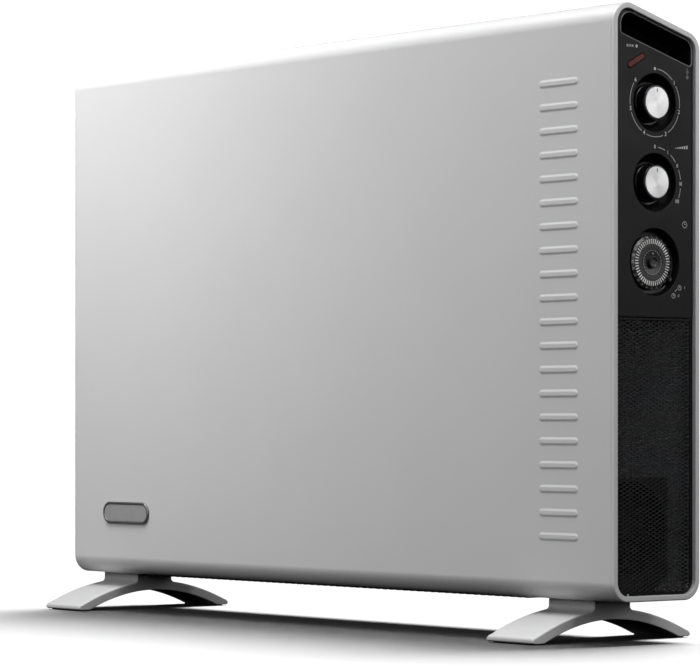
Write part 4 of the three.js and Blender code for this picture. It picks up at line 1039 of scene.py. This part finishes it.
def panel_marks():
    solid = Solid()
    scale(solid, THERMOSTAT_Z, ("", *"123456"), *THERMOSTAT_SCALE)
    scale(solid, SELECTOR_Z, ("0", "I", "II", "III", "IIII"), *SELECTOR_SCALE)
    rising_bars(solid)
    timer_signs(solid)
    lamp_sign(solid)
    add_piece("panel_marks", solid, print_white)


def panel_signs_faint():
    """The dim sign beside the thermostat: two dots on a stem."""
    solid = Solid()
    low, high, top = 421.5, 425.5, 428.5
    middle, stem = 33.2, 0.4
    for z in (low, high):
        add_patch(solid, circle((middle, z), 1.3, 16), INK)
    left, right = middle - stem, middle + stem
    add_patch(solid, [(left, low), (right, low), (right, top), (left, top)], INK)
    add_piece("panel_signs_faint", solid, print_grey)


def timer_numbers():
    """The hours on the dial's edge, the dashed ring and the arrow."""
    solid = Solid()
    centre = (0, TIMER_Z)
    for hour in range(HOURS):
        angle = 360 / HOURS * hour
        place = at_clock(centre, NUMBER_RADIUS, angle)
        height, turn = DIAL_FACE - NUMBER_DROP, -radians(angle)
        add_text(solid, str(hour + 1), NUMBER_SIZE, place, height, turn, 0.06, EDGE_SLOPE)
        end = angle + DASH_ANGLE
        add_ribbon(solid, centre, DASH_RADIUS, DASH_WIDTH, angle, end, DIAL_FACE - 0.02)
    arrow = [at_clock(centre, radius, angle) for radius, angle in ((7.6, 6), (6.2, -3), (6.2, 15))]
    add_patch(solid, arrow, DIAL_FACE - 0.2)
    add_piece("timer_numbers", solid, print_dial, "timer_dial")


# ---- bottom grille

GRILLE_HALF, GRILLE_END = 26.2, 337.4
GRILLE_WALL, GRILLE_WALL_TOP = 1.5, UNDERSIDE + 5.5
GRILLE_FLOOR = UNDERSIDE + 2.5
WINDOW_INSET = 38.6
WINDOW = (FEET["left"] + WINDOW_INSET, FEET["right"] - WINDOW_INSET)
BAR_COUNT, BAR_WIDTH = 60, 4.4
BAR_LEVELS = (UNDERSIDE - 1.2, UNDERSIDE + 1.7)
BOSS_RADIUS, BOSS_TOP = 5.5, 44
FOOT_SCREW = 14


def block(solid, x, y, z):
    """A block between pairs of limits."""
    corners = [(x[0], y[0]), (x[1], y[0]), (x[1], y[1]), (x[0], y[1])]
    solid.rings([[(a, b, level) for a, b in corners] for level in z])


def post(solid, centre, radius, levels):
    """An upright cylinder between two levels."""
    points = circle(centre, radius, 32)
    solid.rings([[(x, y, z) for x, y in points] for z in levels])


def bottom_grille():
    solid = Solid()
    floor_levels = (UNDERSIDE, GRILLE_FLOOR)
    whole = (-GRILLE_HALF, GRILLE_HALF)
    for side in (-1, 1):
        across = sorted((side * GRILLE_HALF, side * (GRILLE_HALF - GRILLE_WALL)))
        block(solid, (-GRILLE_END, GRILLE_END), across, (UNDERSIDE, GRILLE_WALL_TOP))
    block(solid, (-GRILLE_END, WINDOW[0]), whole, floor_levels)
    block(solid, (WINDOW[1], GRILLE_END), whole, floor_levels)
    pitch = (WINDOW[1] - WINDOW[0]) / BAR_COUNT
    reach = GRILLE_HALF - GRILLE_WALL / 2
    for i in range(BAR_COUNT):
        x = WINDOW[0] + (i + 0.5) * pitch
        block(solid, (x - BAR_WIDTH / 2, x + BAR_WIDTH / 2), (-reach, reach), BAR_LEVELS)
    for middle in FEET.values():
        for side in (-1, 1):
            post(solid, (middle + side * FOOT_SCREW, 0), BOSS_RADIUS, (GRILLE_FLOOR - 1, BOSS_TOP))
    add_piece("bottom_bars", solid, grille_black, replaces=["bottom_grille"])


# ---- lamp and badge


def lamp():
    solid = Solid()
    stages = [(0, -3.6), (0, -0.15), (-0.15, 0.15), (-0.5, 0.33), (-1.0, 0.4)]
    rings = [end_points(lamp_outline(grow), PANEL_FACE + height) for grow, height in stages]
    solid.rings(rings)
    add_piece("lamp_window", solid, lens_red, replaces=["lamp_lens"])


BADGE_CENTRE = (-269.6, UNDERSIDE + 53.5)
BADGE_LENGTH, BADGE_WIDTH, BADGE_GAP = 68, 19, 0.3


def badge():
    """A bare plate with a raised rim round a sunk field."""
    stages = [
        (0, 0), (0, 0.9), (0.25, 1.3), (0.7, 1.55), (1.2, 1.6), (1.8, 1.55), (2.2, 1.3), (2.5, 1.0),
    ]

    def ring(shrink, depth):
        length, width = BADGE_LENGTH - 2 * shrink, BADGE_WIDTH - 2 * shrink
        outline = pill(BADGE_CENTRE, length, width, 0, 24)
        return [(x, -HALF_DEPTH - BADGE_GAP - depth, z) for x, z in outline]

    rim = Solid()
    rim.rings([ring(*stage) for stage in stages])
    add_piece("badge_rim", rim, badge_edge, replaces=["badge_plate"])
    field = Solid()
    field.rings([ring(2.4, 0.6), ring(2.45, 1.05)])
    add_piece("badge_field", field, badge_field, replaces=["badge_plate"])


# ---- feet

NECK_HALF, NECK_REACH, NECK_TOP = 25.6, 18, UNDERSIDE - 0.3
TIP_HALF, FOOT_REACH = 26.2, 80
ARM_TOP, ARM_FALL, ARM_RADIUS = 23.5, 0.12, 167
ARCH_HALF, ARCH_RISE, TIP_LOW = 69, 15.6, 1
FILLET = 5
TIP_ROUND, TIP_LIFT = 2.6, 1.2
UPPER_ROUND, LOWER_ROUND = 1.6, 0.8
BORE_RADIUS, BORE_TOP = 5.05, 22.3
FOOT_SHARP = 38


def arm_top(y):
    """The upper height of an arm, which falls ever steeper towards its tip."""
    run = y - NECK_REACH
    return ARM_TOP - ARM_FALL * run - run**2 / (2 * ARM_RADIUS)


def arch(y):
    """The lower height of a foot."""
    return TIP_LOW + ARCH_RISE * max(0, 1 - (y / ARCH_HALF) ** 2)


def foot_ring(y, top, low):
    """A cross-section of a foot: a rectangle with rounded corners."""
    distance = abs(y)
    share = max(0.0, distance - NECK_REACH) / (FOOT_REACH - NECK_REACH)
    half = NECK_HALF + share * (TIP_HALF - NECK_HALF)
    thick = top - low
    upper = min(UPPER_ROUND, thick * 0.42)
    lower = min(LOWER_ROUND, thick * 0.3)
    corners = [
        (half - upper, top - upper, upper, 0),
        (-half + upper, top - upper, upper, pi / 2),
        (-half + lower, low + lower, lower, pi),
        (half - lower, low + lower, lower, 1.5 * pi),
    ]
    ring = []
    for x, z, radius, start in corners:
        ring += arc((x, z), radius, start, start + pi / 2, 4)
    return [(x, y, z) for x, z in ring]


def foot_stations():
    """Distance from the middle, upper height and lower height, out to the rounded tip."""
    stations = [(y, NECK_TOP, arch(y)) for y in (0, 6, 12, 16, NECK_REACH)]
    end = NECK_REACH + FILLET
    base = arm_top(end)
    for i in range(1, 8):
        angle = i / 8 * pi / 2
        y = end - FILLET * cos(angle)
        stations.append((y, base + FILLET * (1 - sin(angle)), arch(y)))
    tip = FOOT_REACH - TIP_ROUND
    for i in range(25):
        y = end + (tip - end) * i / 24
        stations.append((y, arm_top(y), arch(y)))
    for i in range(1, 7):
        angle = i / 6 * pi / 2
        y = tip + TIP_ROUND * sin(angle)
        top = arm_top(tip) - TIP_ROUND + TIP_ROUND * cos(angle)
        low = TIP_LOW + TIP_LIFT * (1 - cos(angle)) if i > 2 else TIP_LOW
        stations.append((y, max(top, low + 0.15), low))
    return stations


def foot(name, x):
    solid = Solid()
    half = foot_stations()
    rings = [foot_ring(-y, top, low) for y, top, low in half[:0:-1]]
    rings += [foot_ring(y, top, low) for y, top, low in half]
    solid.rings([[(x + a, b, c) for a, b, c in ring] for ring in rings])
    shell = name + "_foot_shell"
    replaced = [name + "_foot"]
    piece = add_piece(
        shell, solid, foot_paint, replaces=replaced, sharp=FOOT_SHARP
    )
    for side in (-1, 1):
        cutter = Solid()
        post(cutter, (x + side * FOOT_SCREW, 0), BORE_RADIUS, (0, BORE_TOP))
        cut_out(piece, new_object("cutter", make_mesh("cutter", cutter, SMOOTH_ANGLE)))
    piece.data.set_sharp_from_angle(angle=radians(FOOT_SHARP))


def cut_out(piece, tool):
    """Cuts a tool's shape out of a piece and removes the tool."""
    cut = piece.modifiers.new("bore", "BOOLEAN")
    cut.object = tool
    cut.solver = "EXACT"
    piece.modifiers.move(len(piece.modifiers) - 1, 0)
    apply_first(piece)
    bpy.data.objects.remove(tool)


def apply_first(piece):
    """Makes the first modifier part of the mesh."""
    rest = [m for m in piece.modifiers][1:]
    for modifier in rest:
        modifier.show_viewport = False
    bpy.context.view_layer.update()
    graph = bpy.context.evaluated_depsgraph_get()
    mesh = bpy.data.meshes.new_from_object(piece.evaluated_get(graph))
    piece.data = mesh
    piece.modifiers.remove(piece.modifiers[0])
    for modifier in rest:
        modifier.show_viewport = True


# ---- solids that stay


EDGE_WIDTH = 0.25


def soften(node):
    """Rounds the edges of a solid that stays, and smooths its shallower ones."""
    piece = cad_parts[node]
    weld = piece.modifiers.new("weld", "WELD")
    weld.merge_threshold = 1e-6
    edge = piece.modifiers.new("edge", "BEVEL")
    edge.width = EDGE_WIDTH * MM
    edge.segments = 2
    edge.limit_method = "ANGLE"
    edge.angle_limit = radians(SMOOTH_ANGLE)
    edge.harden_normals = False
    smooth = piece.modifiers.new("smooth", "NODES")
    smooth.node_group = smoothing
    weighted = piece.modifiers.new("weighted", "WEIGHTED_NORMAL")
    weighted.keep_sharp = True


def smoothing_group():
    """Shades a mesh smooth, apart from its sharper edges."""
    group = bpy.data.node_groups.new("smooth_by_angle", "GeometryNodeTree")
    group.interface.new_socket("Geometry", in_out="INPUT", socket_type="NodeSocketGeometry")
    group.interface.new_socket("Geometry", in_out="OUTPUT", socket_type="NodeSocketGeometry")
    entry = group.nodes.new("NodeGroupInput")
    leave = group.nodes.new("NodeGroupOutput")
    faces = new_node(group, "GeometryNodeSetShadeSmooth", domain="FACE")
    edges = new_node(group, "GeometryNodeSetShadeSmooth", domain="EDGE", Shade_Smooth=False)
    angle = new_node(group, "GeometryNodeInputMeshEdgeAngle")
    above = new_node(group, "FunctionNodeCompare", data_type="FLOAT", operation="GREATER_THAN")
    above.inputs["B"].default_value = radians(SMOOTH_ANGLE)
    group.links.new(angle.outputs["Unsigned Angle"], above.inputs["A"])
    group.links.new(above.outputs["Result"], edges.inputs["Selection"])
    group.links.new(entry.outputs["Geometry"], faces.inputs["Geometry"])
    group.links.new(faces.outputs["Geometry"], edges.inputs["Geometry"])
    group.links.new(edges.outputs["Geometry"], leave.inputs["Geometry"])
    return group


smoothing = smoothing_group()

# Words in the names of the solids that stay, by material
LOOKS = {
    silver_paint: ("rear_panel",),
    grille_black: ("top_grille", "fan_housing"),
    timer_dark: ("fan_wheel", "timer_lever"),
    rubber: ("foot_pad", "cord_gland"),
    steel: ("spindle", "screw", "fan_motor", "thermal_cutout"),
    # The brackets and shields take the darkened steel, painted shade inside the casing
    shaded_galvanised: ("element_bracket", "heat_shield"),
    extruded: ("heating_element",),
    ceramic: ("element_bush",),
    switch_cream: (
        "thermostat_body", "selector_switch", "timer_body", "lamp_holder", "terminal_block",
    ),
}

for material, words in LOOKS.items():
    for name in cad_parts:
        if any(word in name for word in words):
            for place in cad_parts[name].material_slots:
                place.material = material
            soften(name)

# ---- assembly

front_panel()
for name, side in (("right", 1), ("left", -1)):
    end_frame(name + "_end_frame", side)
    expanded_metal(name + "_side_mesh", side)
    mesh_border(name + "_side_mesh", side)
control_panel()
left_panel()
knob("thermostat", THERMOSTAT_Z)
knob("selector", SELECTOR_Z)
timer()
timer_numbers()
panel_marks()
panel_signs_faint()
lamp()
badge()
bottom_grille()
for name, x in FEET.items():
    foot(name, x)

# ---- floor, light and camera

scene = bpy.context.scene


FLOOR_REACH = 30


def floor():
    size = FLOOR_REACH
    mesh = bpy.data.meshes.new("floor")
    corners = [(-size, -size, 0), (size, -size, 0), (size, size, 0), (-size, size, 0)]
    mesh.from_pydata(corners, [], [(0, 1, 2, 3)])
    look = Look("floor", (0.86, 0.86, 0.86), 0.6, Specular_IOR_Level=0.2)
    look.vary_roughness(look.noise(3, 2), 0.05)
    mesh.materials.append(look.material)
    ground = new_object("floor", mesh)
    ground.visible_diffuse = False
    ground.visible_glossy = False
    return ground


def backdrop():
    """A white surround for the camera. Everything else sees a dim sky over a dark ground."""
    world = bpy.data.worlds.new("surround")
    world.use_nodes = True
    scene.world = world
    tree, links = world.node_tree, world.node_tree.links
    background = tree.nodes["Background"]
    background.inputs["Color"].default_value = (1, 1, 1, 1)
    place = new_node(tree, "ShaderNodeTexCoord")
    split = new_node(tree, "ShaderNodeSeparateXYZ")
    links.new(place.outputs["Generated"], split.inputs["Vector"])
    sky = new_node(tree, "ShaderNodeMapRange", From_Min=-0.1, From_Max=0.3, To_Max=SKY)
    links.new(split.outputs["Z"], sky.inputs["Value"])
    rays = new_node(tree, "ShaderNodeLightPath")
    choose = new_node(tree, "ShaderNodeMix", B=BACKDROP)
    links.new(rays.outputs["Is Camera Ray"], choose.inputs["Factor"])
    links.new(sky.outputs["Result"], choose.inputs["A"])
    links.new(choose.outputs["Result"], background.inputs["Strength"])


# Place, what it points at, width, height and power
SOFTBOXES = {
    "above_front": ((-0.3, -0.7, 1.9), (-0.1, 0, 0.3), 1.6, 0.8, 43),
    "front": ((-0.2, -4.0, 1.2), (0.0, 0, 0.2), 2.5, 1.5, 40),
    "right": ((2.0, 1.6, 0.85), (0.35, 0, 0.4), 0.9, 0.7, 5.6),
    "above_right": ((1.6, 0.0, 1.9), (0.35, 0, 0.3), 1.0, 1.0, 22),
    "low_right": ((2.6, -0.7, 0.5), (0.35, 0, 0.1), 0.8, 0.8, 7),
}
# Place, what it points at, cone in degrees and power
SPOTS = {
    "left": ((-0.9, -2.0, 1.4), (-0.35, 0, 0.5), 34, 36),
    "left_near": ((-0.5, -0.8, 1.0), (-0.36, 0, 0.52), 50, 30),
}
# Strength, then degrees from overhead towards the rear and to the left, and across the disc
SUN = 4.4
SUN_TILT = 21
SUN_TURN = 7
SUN_SOFTNESS = 30
SKY, BACKDROP = 0.06, 1.1


def aim(light, place, target):
    """Sets a light in its place, turned to a target."""
    holder = bpy.data.objects.new(light.name, light)
    holder.location = place
    direction = Vector(target) - Vector(place)
    holder.rotation_euler = direction.to_track_quat("-Z", "Y").to_euler()
    scene.collection.objects.link(holder)
    return holder


def link_floor(holder, ground, state):
    """Lets a light reach only the floor (INCLUDE), or all but the floor (EXCLUDE)."""
    lit = bpy.data.collections.new(holder.name + "_lit")
    lit.objects.link(ground)
    lit.collection_objects[0].light_linking.link_state = state
    holder.light_linking.receiver_collection = lit


def softbox(name, place, target, width, height, power):
    light = bpy.data.lights.new(name, "AREA")
    light.shape = "RECTANGLE"
    light.size, light.size_y = width, height
    light.energy = power
    return aim(light, place, target)


def spot(name, place, target, cone, power):
    light = bpy.data.lights.new(name, "SPOT")
    light.spot_size = radians(cone)
    light.spot_blend = 1
    light.shadow_soft_size = 0.25
    light.energy = power
    return aim(light, place, target)


def sun():
    light = bpy.data.lights.new("sun", "SUN")
    light.energy = SUN
    light.angle = radians(SUN_SOFTNESS)
    back, left = tan(radians(SUN_TILT)), tan(radians(SUN_TURN))
    return aim(light, (-left, back, 1), (0, 0, 0))


ground = floor()
backdrop()
link_floor(sun(), ground, "INCLUDE")
for name, settings in SOFTBOXES.items():
    link_floor(softbox(name, *settings), ground, "EXCLUDE")
for name, settings in SPOTS.items():
    link_floor(spot(name, *settings), ground, "EXCLUDE")

# The camera stands level. Its focal length and the horizon are in pixels of the picture.
PICTURE_WIDTH, PICTURE_HEIGHT = 700, 669
FOCAL, HORIZON = 3476.0, 421.43
SENSOR = 36
CAMERA_PLACE, CAMERA_TURN = (2.2137, -1.7826, 0.16506), 51.3268

camera = bpy.data.objects.new("camera", bpy.data.cameras.new("camera"))
camera.location = CAMERA_PLACE
camera.rotation_euler = (pi / 2, 0, radians(CAMERA_TURN))
camera.data.sensor_width = SENSOR
camera.data.lens = FOCAL / PICTURE_WIDTH * SENSOR
camera.data.shift_y = (HORIZON - PICTURE_HEIGHT / 2) / PICTURE_WIDTH
camera.data.clip_start, camera.data.clip_end = 0.05, 100
scene.collection.objects.link(camera)
scene.camera = camera
scene.view_settings.view_transform = "Standard"
